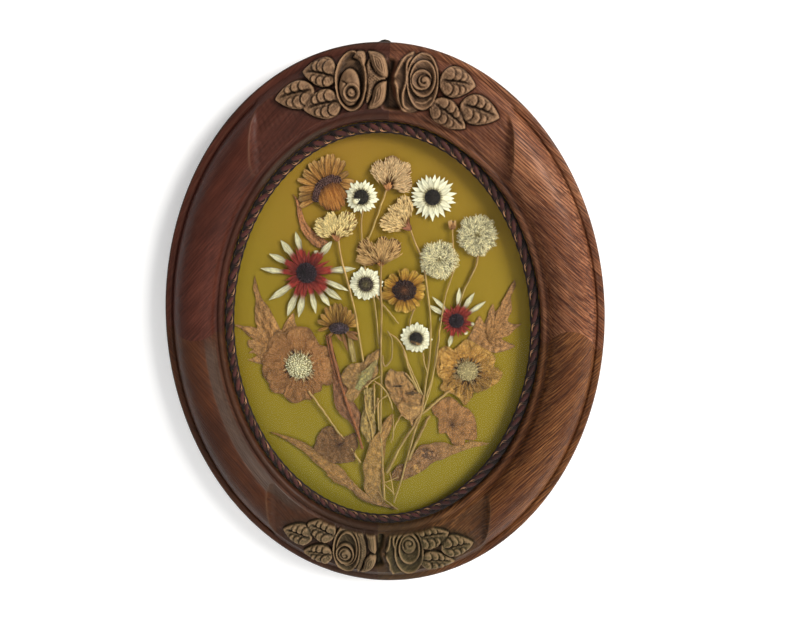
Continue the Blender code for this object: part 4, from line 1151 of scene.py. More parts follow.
def make_white_daisy(name, materials):
    centre, reach, count, half, blunt, disc, depth, tones, seed = WHITE_DAISIES[name]
    daisy = Sculpt(name + "_petals")
    rng = np.random.default_rng(seed)
    stops = colours((0.0, 196, 178, 132), (0.3, 248, 238, 206, 1.15), (1.0, 252, 248, 224, 1.25))
    for layer, (share, lower) in enumerate(((1.0, 0.35), (0.9, 0.0))):
        for k in range(count):
            angle = 360 * (k + 0.5 * layer) / count + rng.uniform(-4, 4) + seed * 7
            far = reach * share * rng.uniform(0.9, 1.04)
            petal(daisy, polar(centre, angle, disc * 0.7), polar(centre, angle, far),
                  half * rng.uniform(0.85, 1.1), (depth - lower, depth + 0.25 - lower, depth - 0.9 - lower),
                  stops, waist=0.55, peak=0.45, blunt=blunt, cup=0.15, shade=rng.uniform(0.74, 1.02),
                  seed=seed * 50 + 20 * layer + k, bend=rng.uniform(-0.04, 0.04), ragged=0.03, rib=0.1,
                  rows=8, edge=-0.4)
    disc_tones = [srgb(*tone) for tone in tones]
    daisy_disc(daisy, centre, (disc * 0.93, disc * 0.93), depth + 0.2, disc_tones, 80, seed)
    rim = colours((0.0, 120, 104, 78), (1.0, 214, 200, 158))
    for k in range(RIM_FLORETS):
        angle = 360 * k / RIM_FLORETS + rng.uniform(-3, 3)
        petal(daisy, polar(centre, angle, disc * 0.86), polar(centre, angle, disc * 1.22), 0.42,
              (depth + 0.3, depth + 0.6, depth + 0.3), rim, peak=0.4, rows=4, across=3, seed=k,
              shade=rng.uniform(0.6, 1.0))
    if name == "small_white_daisy":
        petal(daisy, polar(centre, 215, disc * 1.2), polar(centre, 250, 1.2), 1.9,
              (depth + 0.7, depth + 1.2, depth + 0.9), stops, waist=0.8, peak=0.3, blunt=0.1, seed=99,
              cup=0.1)
    if name == "lower_white_daisy":
        petal(daisy, polar(centre, -150, disc * 0.8), polar(centre, -35, disc * 0.85), 1.1,
              (depth + 0.7, depth + 0.9, depth + 0.7), colours((0.0, 150, 110, 72), (1.0, 168, 128, 84)),
              waist=0.4, peak=0.5, bend=-0.22, seed=98)
    daisy.finish(materials, name, "white_petals")


RED_DAISIES = {
    # name: centre, disc's radius, reach of the red, half width of a petal, the petals' tips
    "red_daisy_left": ((-51.0, 43.5), 7.4, 17.5, 2.3, [
        (-17, 48), (-33, 66), (-43, 59), (-57.5, 72), (-68.5, 66), (-76.5, 57), (-83.5, 43.5), (-77, 21.5),
        (-66.5, 12), (-56, 11), (-44, 14.5), (-34.5, 20.5), (-28, 23.5), (-21.5, 32.5)]),
    "red_daisy_right": ((53.0, 13.4), 5.3, 11.6, 1.8, [
        (73, 26.8), (63.8, 33.8), (55.5, 36.4), (36.8, 30.4), (32.6, 23.2), (41, 14), (47.8, -6), (60.5, 3.5),
        (65.5, 11)]),
}


INNER_PETALS = 22            # short ones round a red daisy's disc


def make_red_daisy(name, materials):
    centre, disc, red, half, tips = RED_DAISIES[name]
    daisy = Sculpt(name + "_petals")
    rng = np.random.default_rng(len(name))
    cream, dusty = srgb(236, 226, 190), srgb(196, 184, 158)
    crimson, dark = srgb(166, 54, 46), srgb(98, 26, 28)
    for k, tip in enumerate(tips):
        far = math.hypot(tip[0] - centre[0], tip[1] - centre[1])
        angle = math.degrees(math.atan2(tip[1] - centre[1], tip[0] - centre[0]))
        root = polar(centre, angle, disc * 0.6)
        length = far - disc * 0.6
        turn = min((red * rng.uniform(0.86, 1.06) - disc * 0.6) / length, 0.8)
        stops = [(0.0, dark), (turn * 0.6, crimson), (turn - 0.02, crimson * 0.9), (turn + 0.03, dusty),
                 (min(turn + 0.2, 0.95), cream), (1.0, cream)]
        s = np.linspace(0, 1, 16)
        path = np.array(root) + np.outer(s, np.array(tip) - root)
        bend = rng.uniform(-0.07, 0.07) * length * s ** 2
        path = path + np.outer(bend, polar((0, 0), angle + 90, 1.0))
        lobe = np.clip((s - turn) / (1 - turn), 0, 1)
        width = np.where(s < turn, 0.55 + 0.4 * np.sin(math.pi * s / turn * 0.8), 0.0)
        width = np.where(s >= turn, 0.62 + 0.42 * np.sin(math.pi * np.minimum(lobe / 1.1, 1.0)), width)
        past = np.clip((lobe - 0.35) / 0.65, 0.0, 1.0)
        width = width * np.maximum(1 - past ** 1.5, 0.0) ** 0.8
        depth = 8.35 + 0.25 * (k % 2) - 1.1 * s ** 2
        strip(daisy, path, half * width * rng.uniform(0.85, 1.1) + 0.05, depth,
              blend(stops, s) * rng.uniform(0.9, 1.03), across=7, cup=0.16, rib=0.06, seed=k + 60,
              ragged=0.05, ruffle=0.1)
    for k in range(INNER_PETALS):
        angle = 360 * k / INNER_PETALS + rng.uniform(-5, 5)
        shade = [(0.0, dark), (0.5, crimson * rng.uniform(0.6, 1.1)),
                 (1.0, srgb(196, 86, 60) * rng.uniform(0.6, 1.1))]
        petal(daisy, polar(centre, angle, disc * 0.7), polar(centre, angle, red * rng.uniform(0.74, 1.16)),
              half * 0.62, (8.6, 8.95, 8.3), shade, waist=0.7, peak=0.45, blunt=0.0, cup=0.2, rib=0.3,
              seed=90 + k, rows=8, edge=-0.6)
    daisy_disc(daisy, centre, (disc, disc), 8.7, [srgb(40, 26, 34), srgb(58, 40, 52)], 110, 3, 0.4, 0.6)
    daisy.finish(materials, name, "red_petals")


GOLDEN_PADDLES = [               # each paddle's end and half its width
    ((6.6, 44.4), 3.1), ((2.8, 39.8), 3.2), ((1.8, 34.6), 2.8), ((0.4, 28.4), 3.4), ((5.8, 23.8), 3.0),
    ((12.0, 17.6), 2.9), ((18.4, 17.0), 3.4), ((23.6, 18.6), 2.9), ((27.6, 22.4), 1.7), ((30.8, 29.8), 3.5),
    ((31.4, 36.4), 3.4), ((30.2, 44.2), 2.9), ((25.0, 47.4), 3.3), ((17.2, 49.2), 2.9), ((12.8, 48.0), 0.9),
]


def make_golden_daisy(materials):
    daisy = Sculpt("golden_daisy_petals")
    rng = np.random.default_rng(12)
    centre = (16.8, 33.4)
    stops = colours((0.0, 104, 60, 26), (0.35, 182, 130, 46), (0.75, 208, 164, 66), (1.0, 214, 174, 92))
    for k, (tip, half) in enumerate(GOLDEN_PADDLES):
        high = 0.35 * (k % 2)
        angle = math.degrees(math.atan2(tip[1] - centre[1], tip[0] - centre[0]))
        petal(daisy, polar(centre, angle, 5.6), tip, half, (8.5 + high, 8.7 + high, 7.8), stops, waist=0.42,
              peak=0.68, blunt=0.85, square=0.4, notch=0.22, rounding=0.3, cup=0.1, rib=0.12, across=9,
              rows=12, shade=rng.uniform(0.8, 1.15), seed=120 + k, ragged=0.08, edge=-0.65, crumple=0.12)
    daisy_disc(daisy, (16.8, 33.5), (8.5, 7.4), 8.7, [srgb(128, 80, 52), srgb(60, 40, 36), srgb(66, 42, 46)],
               130, 5, 0.5, height=0.7)
    daisy.finish(materials, "golden_daisy", "golden_petals")


FOLDED_PETALS = [                # each petal's end and half its width
    ((-43.5, 2.2), 1.3), ((-44.0, 9.4), 1.9), ((-41.4, 14.2), 1.9), ((-38.2, 19.4), 2.1),
    ((-34.6, 20.6), 2.0), ((-31.2, 22.6), 2.4), ((-27.6, 22.4), 2.4), ((-23.8, 20.2), 2.4),
    ((-20.4, 17.8), 2.2), ((-17.6, 15.2), 1.9), ((-15.6, 11.4), 1.8), ((-14.8, 8.0), 1.5),
]


def make_folded_daisy(materials):
    daisy = Sculpt("folded_daisy_petals")
    rng = np.random.default_rng(31)
    stops = colours((0.0, 54, 34, 18), (0.3, 150, 106, 44), (0.65, 196, 150, 70), (1.0, 196, 152, 88))
    for k, (tip, half) in enumerate(FOLDED_PETALS):
        root = (-28.6 + 0.32 * (tip[0] + 28.6), 6.0)
        petal(daisy, root, tip, half, (8.4, 8.8, 7.8), stops, waist=0.3, peak=0.75, blunt=0.6, square=0.3,
              cup=0.16, rib=0.2, shade=rng.uniform(0.75, 1.15), seed=150 + k, edge=-0.75, ragged=0.08,
              rows=12, across=7)
    lower = colours((0.0, 150, 104, 60), (0.5, 178, 126, 76), (1.0, 160, 112, 66))
    hanging = [((-24.0, 3.0), (-15.4, -4.2), 2.2), ((-33.0, 1.0), (-37.5, -3.0), 1.4),
               ((-26.0, 1.0), (-21.6, -12.0), 1.3), ((-31.0, 1.0), (-25.0, -4.6), 1.2),
               ((-23.0, 2.0), (-14.8, 0.4), 1.5)]
    for k, (root, tip, half) in enumerate(hanging):
        petal(daisy, root, tip, half, (8.4, 8.9, 7.8), lower, waist=0.5, peak=0.5, blunt=0.4, cup=0.2,
              rib=0.3, bend=rng.uniform(-0.12, 0.12), shade=rng.uniform(0.75, 1.1), seed=170 + k, edge=-0.6,
              ragged=0.1)
    pale = colours((0.0, 170, 136, 76), (0.5, 194, 172, 108), (1.0, 186, 166, 104))
    petal(daisy, (-21.6, 1.0), (-18.0, -20.0), 1.9, (7.6, 7.8, 7.6), pale, waist=0.7, peak=0.4, blunt=0.9,
          square=0.8, rib=0.15, seed=190, edge=-0.5, rows=16)
    daisy_disc(daisy, (-28.7, 4.6), (7.0, 4.1), 8.7, [srgb(92, 78, 96), srgb(74, 58, 60)], 90, 6, 0.55)
    daisy.finish(materials, "folded_daisy", "ochre_petals")


PAPERY = {
    # name: centre, outline, petals as (angle, reach), half width, disc and burst radius, tones, disc's tone,
    # burst's tone, seed, slot
    "papery_flower_left": (
        (-57.4, -24.2),
        [(-56, 4.7), (-50, 3.5), (-45.5, -3), (-42, -8.5), (-37, -9.5), (-33.5, -15), (-33, -27), (-33, -36),
         (-37, -38.8), (-40.5, -38), (-42, -43), (-47, -45.5), (-49, -50), (-54, -50.5), (-60, -53.3),
         (-66, -52), (-70, -47), (-75, -46.3), (-79.5, -43), (-80, -39.5), (-84, -34), (-84.8, -29),
         (-84, -24.5), (-85, -19), (-80, -13), (-79, -7), (-76, -3), (-72, 1), (-69, 0), (-64, 3.5)],
        [(88, 27), (58, 22), (28, 21), (2, 23), (-24, 24), (-50, 24), (-72, 26), (-92, 28), (-112, 28),
         (-134, 27), (-158, 27), (178, 26), (150, 25), (118, 26)], 6.4, 9.6, 12.6,
        ((120, 76, 44), (164, 112, 68), (176, 126, 80)), (232, 228, 196), (226, 194, 146), 4,
        "papery_petals"),
    "papery_flower_right": (
        (62.0, -22.6),
        [(40.5, -14), (42, -8), (47, -5.5), (52.5, -8), (56, -4), (60, 0), (66, -2), (71, -5), (77, -8),
         (81, -12.5), (80.5, -19.5), (86.5, -23.5), (84, -30), (79, -34), (75, -37), (69, -38.5), (66, -39.5),
         (64.5, -45), (61, -49), (57, -44), (52, -41), (47, -39.5), (43, -37), (45, -31), (42, -28),
         (40, -22)],
        [(96, 20), (68, 20), (42, 19), (16, 19), (-8, 23), (-34, 20), (-60, 19), (-84, 22), (-108, 20),
         (-134, 20), (-160, 20), (172, 20), (146, 22), (120, 19)], 5.2, 7.4, 11.0,
        ((116, 74, 34), (190, 138, 66), (214, 166, 90)), (204, 190, 146), (196, 164, 112), 6,
        "papery_gold_petals"),
}


BURST_POINTS = 90


def make_papery(name, materials):
    """Crumpled flower: broad petals over a ragged sheet, round a granular disc with a burst of points."""
    centre, outline, petals, half, disc, burst, tones, pale, points, seed, slot = PAPERY[name]
    flower = Sculpt(name + "_petals")
    rng = np.random.default_rng(seed)
    gold = "gold" in slot
    stops = colours((0.0, *tones[0]), (0.5, *tones[1]), (1.0, *tones[2]))
    # The ragged sheet under the petals is darker than they are, as painted shade in the gaps between them.
    fan_sheet(flower, centre, outline, 7.4, [(at, tone * 0.8) for at, tone in stops], 0.25, 0.2, seed,
              rings=16)
    for layer in range(2):
        for k, (angle, reach) in enumerate(petals):
            angle = angle + 13 * layer + rng.uniform(-5, 5)
            low = max(0.0, -math.sin(math.radians(angle)))
            tone = rng.uniform(0.88, 1.1) - 0.12 * low
            if gold:
                tone *= 0.84 + 0.24 * math.cos(math.radians(angle - 140))
            petal(flower, polar(centre, angle, disc * 0.6), polar(centre, angle, reach * (0.97, 0.7)[layer]),
                  half * rng.uniform(0.85, 1.1) * (1 - 0.35 * low),
                  (8.4 + 0.35 * layer, 8.4 + 0.45 * layer, 7.7 + 0.4 * layer), stops, waist=0.4, peak=0.68,
                  blunt=0.9, square=0.45, notch=rng.uniform(0.0, 0.35), ruffle=0.22, crumple=0.22,
                  ragged=0.12, rib=0.12 * low, edge=-0.25 - 0.35 * low - 0.15 * gold, rows=13, across=9,
                  shade=tone, seed=seed * 40 + 20 * layer + k, bend=rng.uniform(-0.12, 0.12),
                  pleat=0.12 + 0.4 * low + 0.2 * gold)
    for k in range(BURST_POINTS):
        angle = rng.uniform(0, 360)
        tint = srgb(72, 46, 32) if k % 3 == 0 else srgb(*points) * rng.uniform(0.7, 1.3)
        tip = polar(centre, angle + rng.uniform(-8, 8), burst * rng.uniform(0.76, 1.06))
        petal(flower, polar(centre, angle, disc * 0.8), tip, 0.45, (9.0, 9.4, 9.1),
              [(0.0, tint * 0.6), (1.0, tint)], waist=0.6, peak=0.5, blunt=0.4, rows=5, across=3,
              seed=seed * 70 + k)
    dome(flower, centre, (disc, disc * 0.98), 9.0, 1.0, colours((0.0, 178, 170, 122), (1.0, 132, 120, 80)))
    florets(flower, centre, (disc * 0.97, disc * 0.95), 9.1, 0.95, 330, disc * 0.046,
            colours((0.0, *pale, 1.4), (0.7, *pale, 1.3), (1.0, *pale)), seed, 0.6)
    flower.finish(materials, name, slot)


TUFTS = {
    # name: lobes as (centre, half sizes), where they grow from and their heading, depth, slot, tones,
    # scales' tone, florets a lobe, their length, seed
    "tan_tuft_top": ([((-1.6, 115.0), (5.4, 6.4)), ((7, 118.4), (6.8, 6.4)), ((15, 114.4), (5.4, 6.4)),
                      ((16.4, 106), (4.8, 6.0))], (4.6, 103.0), 92, 8.4, "tan_tuft",
                     ((140, 96, 60), (216, 170, 118), (240, 206, 160)), (214, 146, 92), 153, 3.6, 1),
    "cream_tuft_left": ([((-40.0, 76.0), (5.4, 6.6)), ((-33.8, 80.4), (4.4, 6.2)),
                         ((-22.6, 79.0), (7.2, 8.2))],
                        (-29.4, 68.0), 84, 9.0, "cream_tuft",
                        ((160, 112, 58), (244, 206, 132), (255, 232, 168)), (190, 128, 84), 187, 3.0, 2),
    "cream_tuft_right": ([((15.5, 92.5), (6.2, 6.2)), ((5.6, 79.6), (6.8, 6.2)), ((10.4, 86.0), (6.4, 6.4))],
                         (19.4, 76.6), 132, 8.6, "cream_tuft",
                         ((164, 108, 64), (238, 194, 128), (252, 218, 160)), (176, 112, 84), 170, 3.2, 3),
    "tan_tuft_middle": ([((-10.5, 61.0), (6.2, 7.6)), ((1.4, 65.4), (4.8, 5.4)), ((8.4, 62.6), (6.4, 7.2)),
                         ((-13.4, 54.6), (3.6, 3.0))], (0.4, 51.4), 92, 8.4, "tan_tuft",
                        ((118, 74, 42), (190, 142, 88), (222, 180, 122)), (214, 142, 84), 112, 5.4, 4),
}


STALKS = 9                   # in each lobe
SCALES = 16                  # round a tuft's foot, and on the bud


def make_tuft(name, materials):
    """Fanned head of packed lobes, each of short frilly florets over shadowed roots, on a scaly calyx."""
    lobes, foot, foot_heading, depth, slot, tones, scale_tone, count, length, seed = TUFTS[name]
    tuft = Sculpt(name + "_florets")
    rng = np.random.default_rng(seed)
    stops = colours((0.0, *tones[0], 0.6), (0.35, *tones[1]), (1.0, *tones[2], 1.3))
    for number, (centre, half) in enumerate(lobes):
        dome(tuft, centre, (half[0] * 0.86, half[1] * 0.86), depth - 0.4, 0.5,
             colours((0.0, *tones[1], 0.5), (1.0, *tones[0], 0.8)), 4, 18, 0.2, seed + number)
        turn = rng.uniform(0, 2 * math.pi, count)
        share = np.sqrt(rng.uniform(0, 1, count)) * rng.uniform(0.9, 1.16, count)
        x, z = centre[0] + half[0] * share * np.cos(turn), centre[1] + half[1] * share * np.sin(turn)
        far = np.hypot(x - foot[0], z - foot[1])
        for k, i in enumerate(np.argsort(-far)):
            heading = math.degrees(math.atan2(z[i] - foot[1], x[i] - foot[0])) + rng.uniform(-17, 17)
            high = depth + 0.2 + 1.3 * k / count
            reach = length * rng.uniform(0.9, 1.5)
            tip = (x[i], z[i])
            petal(tuft, polar(tip, heading + 180, reach), tip, rng.uniform(0.2, 0.38),
                  (high - 0.3, high + 0.2, high + rng.uniform(-0.2, 0.3)), stops, waist=0.45, peak=0.65,
                  blunt=0.05, bend=rng.uniform(-0.12, 0.12), rows=5, across=3, cup=0.25, edge=-0.3,
                  shade=rng.uniform(0.55, 1.2), seed=seed * 400 + number * 100 + k, thick=0.1)
        stalks = colours((0.0, *tones[0], 0.6), (1.0, *tones[0]))
        for k in range(STALKS):
            tip = (centre[0] + half[0] * rng.uniform(-0.6, 0.6), centre[1] + half[1] * rng.uniform(-0.7, 0.3))
            petal(tuft, foot, tip, 0.5, (depth - 0.4, depth - 0.2, depth - 0.3), stalks, waist=0.9, peak=0.5,
                  rows=6, across=3, bend=rng.uniform(-0.15, 0.15), shade=rng.uniform(0.7, 1.3),
                  seed=seed * 90 + k)
    scales = colours((0.0, *scale_tone, 0.6), (0.6, *scale_tone), (1.0, *scale_tone, 1.3))
    for k in range(SCALES):
        angle = foot_heading + rng.uniform(-62, 62)
        petal(tuft, polar(foot, foot_heading + 180, 1.8), polar(foot, angle, rng.uniform(2.4, 4.6)), 0.85,
              (depth + 0.4, depth + 1.2, depth + 0.9), scales, waist=0.5, peak=0.45, blunt=0.2, rows=6,
              across=3, cup=-0.2, shade=rng.uniform(0.55, 1.2), seed=seed * 200 + 180 + k)
    tuft.finish(materials, name, slot)


PUFFS = {
    # name: centre, half width, half height, seed
    "pale_puff_middle": ((40.0, 55.5), 12.9, 12.8, 8),
    "pale_puff_right": ((65.0, 73.0), 13.0, 13.8, 9),
}
BRISTLES = 2000


def make_puff(name, materials):
    """Round head of fine bristles, higher towards its middle."""
    centre, half_x, half_z, seed = PUFFS[name]
    puff = Sculpt(name + "_bristles")
    rng = np.random.default_rng(seed)
    # Darker mound under the bristles, as painted shade in the gaps between them.
    dome(puff, centre, (half_x * 0.86, half_z * 0.86), 7.2, 1.5,
         colours((0.0, 140, 128, 86), (1.0, 108, 92, 58)), crumple=0.15)
    stops = colours((0.0, 172, 154, 110), (0.5, 238, 228, 188, 1.15), (1.0, 250, 242, 212, 1.3))
    turn = rng.uniform(0, 2 * math.pi, BRISTLES)
    share = 0.84 * np.sqrt(rng.uniform(0.0, 1.0, BRISTLES))
    uneven = 1.0 + 0.05 * np.sin(5 * turn + seed) + 0.04 * np.sin(9 * turn)
    roots = np.stack([centre[0] + half_x * share * uneven * np.cos(turn),
                      centre[1] + half_z * share * uneven * np.sin(turn)], -1)
    headings = turn + rng.uniform(-1.2, 1.2, BRISTLES) * (1.25 - share)
    for low, high in ((0.0, 0.4), (0.4, 0.7), (0.7, 1.01)):
        band = (share >= low) & (share < high)
        level = 9.0 - 1.3 * ((low + high) / 2) ** 2
        spray(puff, roots[band], headings[band], rng.uniform(1.6, 3.8, band.sum()), level, 1.3, 0.19, stops,
              rng, 0.6, 4)
    puff.finish(materials, name, "pale_tuft")


def make_bud(materials):
    bud = Sculpt("small_bud_scales")
    rng = np.random.default_rng(77)
    stops = colours((0.0, 140, 92, 52), (0.5, 206, 152, 96), (1.0, 226, 184, 130))
    dome(bud, (48.4, 79.0), (2.4, 2.9), 8.4, 0.9, colours((0.0, 150, 104, 62), (1.0, 110, 74, 44)), 4, 14)
    for k in range(SCALES):
        lean = rng.uniform(-1, 1)
        petal(bud, (48.2 + 1.2 * lean, 76.4), (48.3 + 3.0 * lean, 83.4 - 1.2 * abs(lean)), 0.75,
              (8.6, 9.6, 9.0), stops, waist=0.6, peak=0.4, blunt=0.2, rows=6, across=3, cup=-0.2,
              shade=rng.uniform(0.7, 1.15), seed=300 + k)
    bud.finish(materials, "small_bud", "tan_tuft")


OUTLINED = {
    # name: heart, outline, depth, tones, seed
    "lobed_leaf_left": ((-76, -12), [
        (-88, 40), (-89.3, 30), (-87.8, 24), (-88.8, 14), (-88.6, 6), (-87.2, 2.2), (-92, 2.8), (-97, 3),
        (-103.5, 3.8), (-98, -0.5), (-94, -4.5), (-90.5, -6.5), (-94.5, -7.5), (-94.3, -12), (-91, -14),
        (-94, -16.8), (-89, -17.5), (-88, -20), (-94.8, -22.3), (-87, -24.5), (-80, -26), (-70, -24),
        (-60, -12), (-58.5, 3), (-60, 7), (-61, 13.8), (-67, 7), (-70.3, 1), (-72.5, 5), (-76, 12), (-79, 18),
        (-83, 23), (-86, 31)],
        6.6, ((132, 92, 54), (168, 122, 76), (180, 136, 90)), 3),
    "lobed_leaf_right": ((77, 3), [
        (91.3, 43.5), (88, 38), (85, 31), (80.8, 22), (79.5, 20.5), (77.5, 25.8), (75.5, 22), (73.5, 15),
        (71.5, 10.5), (68.8, 17), (66, 12), (64, 6), (62, 2), (60, -8), (66, -8), (75, -8), (80, -9.4),
        (86, -8), (94, -3.6), (89, -1.5), (84.5, 1.5), (89, 3.5), (93, 8), (97.5, 12.3), (92, 12),
        (88.5, 13.5), (90.5, 22), (89.5, 31), (92.2, 40)], 6.6,
                         ((138, 98, 56), (170, 124, 78), (178, 134, 92)), 4),
    "twisted_leaf": ((-14, -30), [
        (0.5, -8.5), (-4.5, -12), (-9, -15.5), (-11, -19), (-16.5, -20.5), (-21.5, -22), (-25, -26),
        (-27.5, -31.5), (-26, -36), (-22.5, -40), (-24.5, -46), (-20.5, -50), (-15.5, -46), (-13, -41.5),
        (-9, -37.5), (-4.5, -34), (-2.5, -30), (-0.5, -26), (-1.5, -21), (0, -15)], 8.4,
                     ((150, 134, 84), (150, 116, 76), (166, 130, 84)), 5),
    "broad_leaf": ((17, -44), [
        (8, -23.5), (12.5, -25.5), (17.5, -25.5), (20.5, -30.5), (24.8, -36), (28, -40), (31.3, -42),
        (31.3, -52), (28.5, -58), (25.5, -62.5), (24, -67), (21.5, -61.5), (16, -58.5), (13, -52.5),
        (9, -46.5), (6, -40.5), (4, -34), (5, -28)], 8.4, ((150, 110, 72), (162, 122, 78), (172, 134, 88)),
                   6),
    "faded_bloom_left": ((-28.6, -84), [
        (-38, -70.3), (-33, -70.3), (-30, -74.5), (-25.5, -77.8), (-21, -75.8), (-17.3, -74.5), (-16, -79),
        (-15.5, -85), (-18, -90), (-17.5, -96), (-23, -98.5), (-30, -99.5), (-37, -101), (-43, -96),
        (-49, -90), (-47, -84.5), (-45.5, -79), (-43.5, -75.5), (-41, -72)], 7.0,
        ((62, 38, 26), (118, 84, 54), (130, 96, 64)), 7),
    "faded_bloom_right": ((52.5, -64.5), [
        (38, -50), (42, -47.5), (46, -44.5), (50, -43), (54, -45), (58, -49), (64, -52), (67.5, -56),
        (69.5, -62), (70.2, -68), (70, -74.6), (66, -76), (62, -76), (62.5, -79), (58, -81), (54, -80),
        (51, -75.5), (49, -71.5), (44, -71.5), (42.5, -66), (42.5, -60), (39, -57), (37.5, -53)], 7.0,
        ((84, 56, 38), (156, 112, 72), (168, 122, 78)), 8),
}


def make_outlined(name, materials):
    """Leaf or faded bloom spread inside an outline, with the folds that lie on it."""
    heart, outline, depth, tones, seed = OUTLINED[name]
    leaf = Sculpt(name + "_blade")
    stops = colours((0.0, *tones[0]), (0.3, *tones[1]), (1.0, *tones[2]))
    fan_sheet(leaf, heart, outline, depth, stops, 0.34, 0.12, seed)
    dome(leaf, heart, (1.2, 1.2), depth + 0.2, 0.4, [stops[0], stops[0]], 3, 12)
    if name == "broad_leaf":
        # Two dark strips along folds of the leaf: painted shadow.
        shadow = colours((0.0, 40, 30, 20), (1.0, 56, 42, 26))
        petal(leaf, (9.6, -36.2), (17.6, -35.6), 0.5, (9.6, 9.8, 9.6), shadow, waist=0.3, peak=0.5,
              ragged=0.2)
        dull = colours((0.0, 112, 84, 56), (0.5, 84, 64, 44), (1.0, 118, 90, 60))
        petal(leaf, (18.5, -41.4), (28.5, -40.4), 1.1, (9.2, 9.5, 9.2), dull, waist=0.3, peak=0.5, ragged=0.4)
        fold = colours((0.0, 176, 134, 86), (1.0, 184, 146, 96))
        loft_sheet(leaf, [(13, -50), (16, -48), (23, -49.5), (31, -50)],
                   [(16, -58), (20, -61), (25, -61), (30, -56)], (9.2, 9.5, 9.2), fold, 0.3, 0.1, 16, 30, 11)
    if name == "lobed_leaf_right":
        for tip, half in (((91, 42), 2.4), ((90, 28), 2.2), ((78, 24), 2.6), ((95, 11), 2.2),
                          ((92, -4), 2.2)):
            petal(leaf, (76, 0), tip, half, (7.4, 7.5, 7.0), stops, waist=0.6, peak=0.4, ruffle=0.3,
                  crumple=0.3, ragged=0.2, rib=0.2, edge=-0.4, rows=20, across=9, shade=1.1, seed=int(tip[0]))
    if name == "twisted_leaf":
        green = colours((0.0, 170, 166, 114), (1.0, 160, 140, 92))
        petal(leaf, (-16, -40), (-1.5, -17), 3.4, (9.2, 9.5, 9.2), green, waist=0.5, peak=0.5, crumple=0.3,
              ragged=0.2, ruffle=0.2, edge=-0.3, rows=20, across=9, seed=55)
    leaf.finish(materials, name, "dry_leaf")


TWO_EDGED = {
    # name: sheets as (one edge, the other, depths, tones), seed
    "curved_leaf": ([
        ([(-60, 97), (-58, 93), (-57.2, 84), (-55.7, 77), (-53.3, 71), (-49.8, 66), (-44.8, 61.6),
          (-39, 60.5)],
         [(-59.6, 97), (-55.4, 92), (-53.8, 86), (-52.0, 80.4), (-47.8, 74.2), (-43.4, 70.4), (-38.4, 67),
          (-35.4, 65)], (6.6, 6.9, 7.2, 7.0), ((150, 100, 68), (184, 126, 84), (150, 104, 74)))], 11),
    "centre_leaf": ([
        ([(9.5, -57.5), (6, -60.5), (3.5, -64), (1, -70), (-1.5, -73.5), (-5.5, -78), (-8, -86), (-9.5, -92),
          (-11.2, -97), (-11.5, -102), (-10.5, -108), (-11, -114), (-10, -120), (-7, -125), (3, -131)],
         [(10, -58), (9.8, -61), (9.5, -66), (8, -72), (6, -76), (5.2, -82), (4.8, -88), (4, -94),
          (3.5, -100), (2.5, -104), (2, -110), (1.6, -115), (2, -120), (4, -126), (8, -132)],
         (8.8, 9.0, 8.9, 8.4, 8.0), ((166, 126, 78), (170, 134, 80), (150, 118, 78))),
        ([(-11, -40), (-11, -50), (-11.8, -57), (-13.6, -68), (-12.6, -73), (-10, -77.5), (-6.5, -83)],
         [(-4.4, -38), (-4.2, -46), (-3.4, -57), (-2.5, -66), (-2, -71), (-3, -75), (-5, -80)],
         (8.4, 8.4, 8.4), ((166, 144, 92), (174, 148, 92), (160, 132, 82)))], 12),
    "strap_leaf": ([
        ([(-37.4, -2), (-36.2, -10), (-34.4, -22), (-33.6, -34), (-33.2, -42), (-32.8, -50), (-30.8, -56.6),
          (-27, -61.5), (-22.5, -65), (-19, -70), (-16, -77)],
         [(-34.4, -2), (-33, -10), (-30, -22), (-26.6, -34), (-22, -42), (-19, -49), (-15.5, -55),
          (-13.2, -60), (-13.4, -66), (-14, -71), (-13.6, -77)],
         (7.2, 7.3, 7.4, 7.2), ((150, 92, 58), (142, 98, 72), (148, 106, 76)))], 13),
    "long_leaf_left": ([
        ([(-80, -77), (-68, -79.6), (-60, -82), (-54, -84.5), (-50, -87), (-42, -94), (-34, -99), (-29, -101),
          (-25.4, -104.5), (-22.6, -109), (-18.6, -113.5), (-14, -118.4), (-9, -122.5), (-2, -126.5),
          (14.5, -132.5)],
         [(-80, -77.4), (-70, -82.4), (-61, -87.8), (-55, -91.5), (-51, -96), (-46, -101), (-40.4, -105),
          (-37, -110), (-33, -114), (-27, -116.5), (-20, -120.5), (-17, -124), (-12, -127.8), (-4, -130.4),
          (13, -134)],
         (6.9, 7.3, 7.8, 8.0, 7.8), ((150, 112, 66), (164, 124, 76), (150, 118, 84)))], 14),
    "long_leaf_right": ([
        ([(79.5, -77.4), (72, -76.6), (66, -76.5), (61, -79), (54, -80.3), (47, -78), (42, -78.5), (36, -80),
          (31, -81), (28, -84), (24, -90), (20, -96), (15, -97.5), (10, -104)],
         [(79.5, -77.8), (74, -79.6), (66, -82), (57, -86), (50, -89.5), (46, -92), (41, -93.5), (38, -96),
          (33, -101), (28, -104.4), (25, -106), (19, -109.5), (14, -110.4), (9.6, -110.5)],
         (6.9, 7.3, 7.7, 7.5), ((176, 136, 82), (156, 116, 80), (138, 104, 72)))], 15),
}


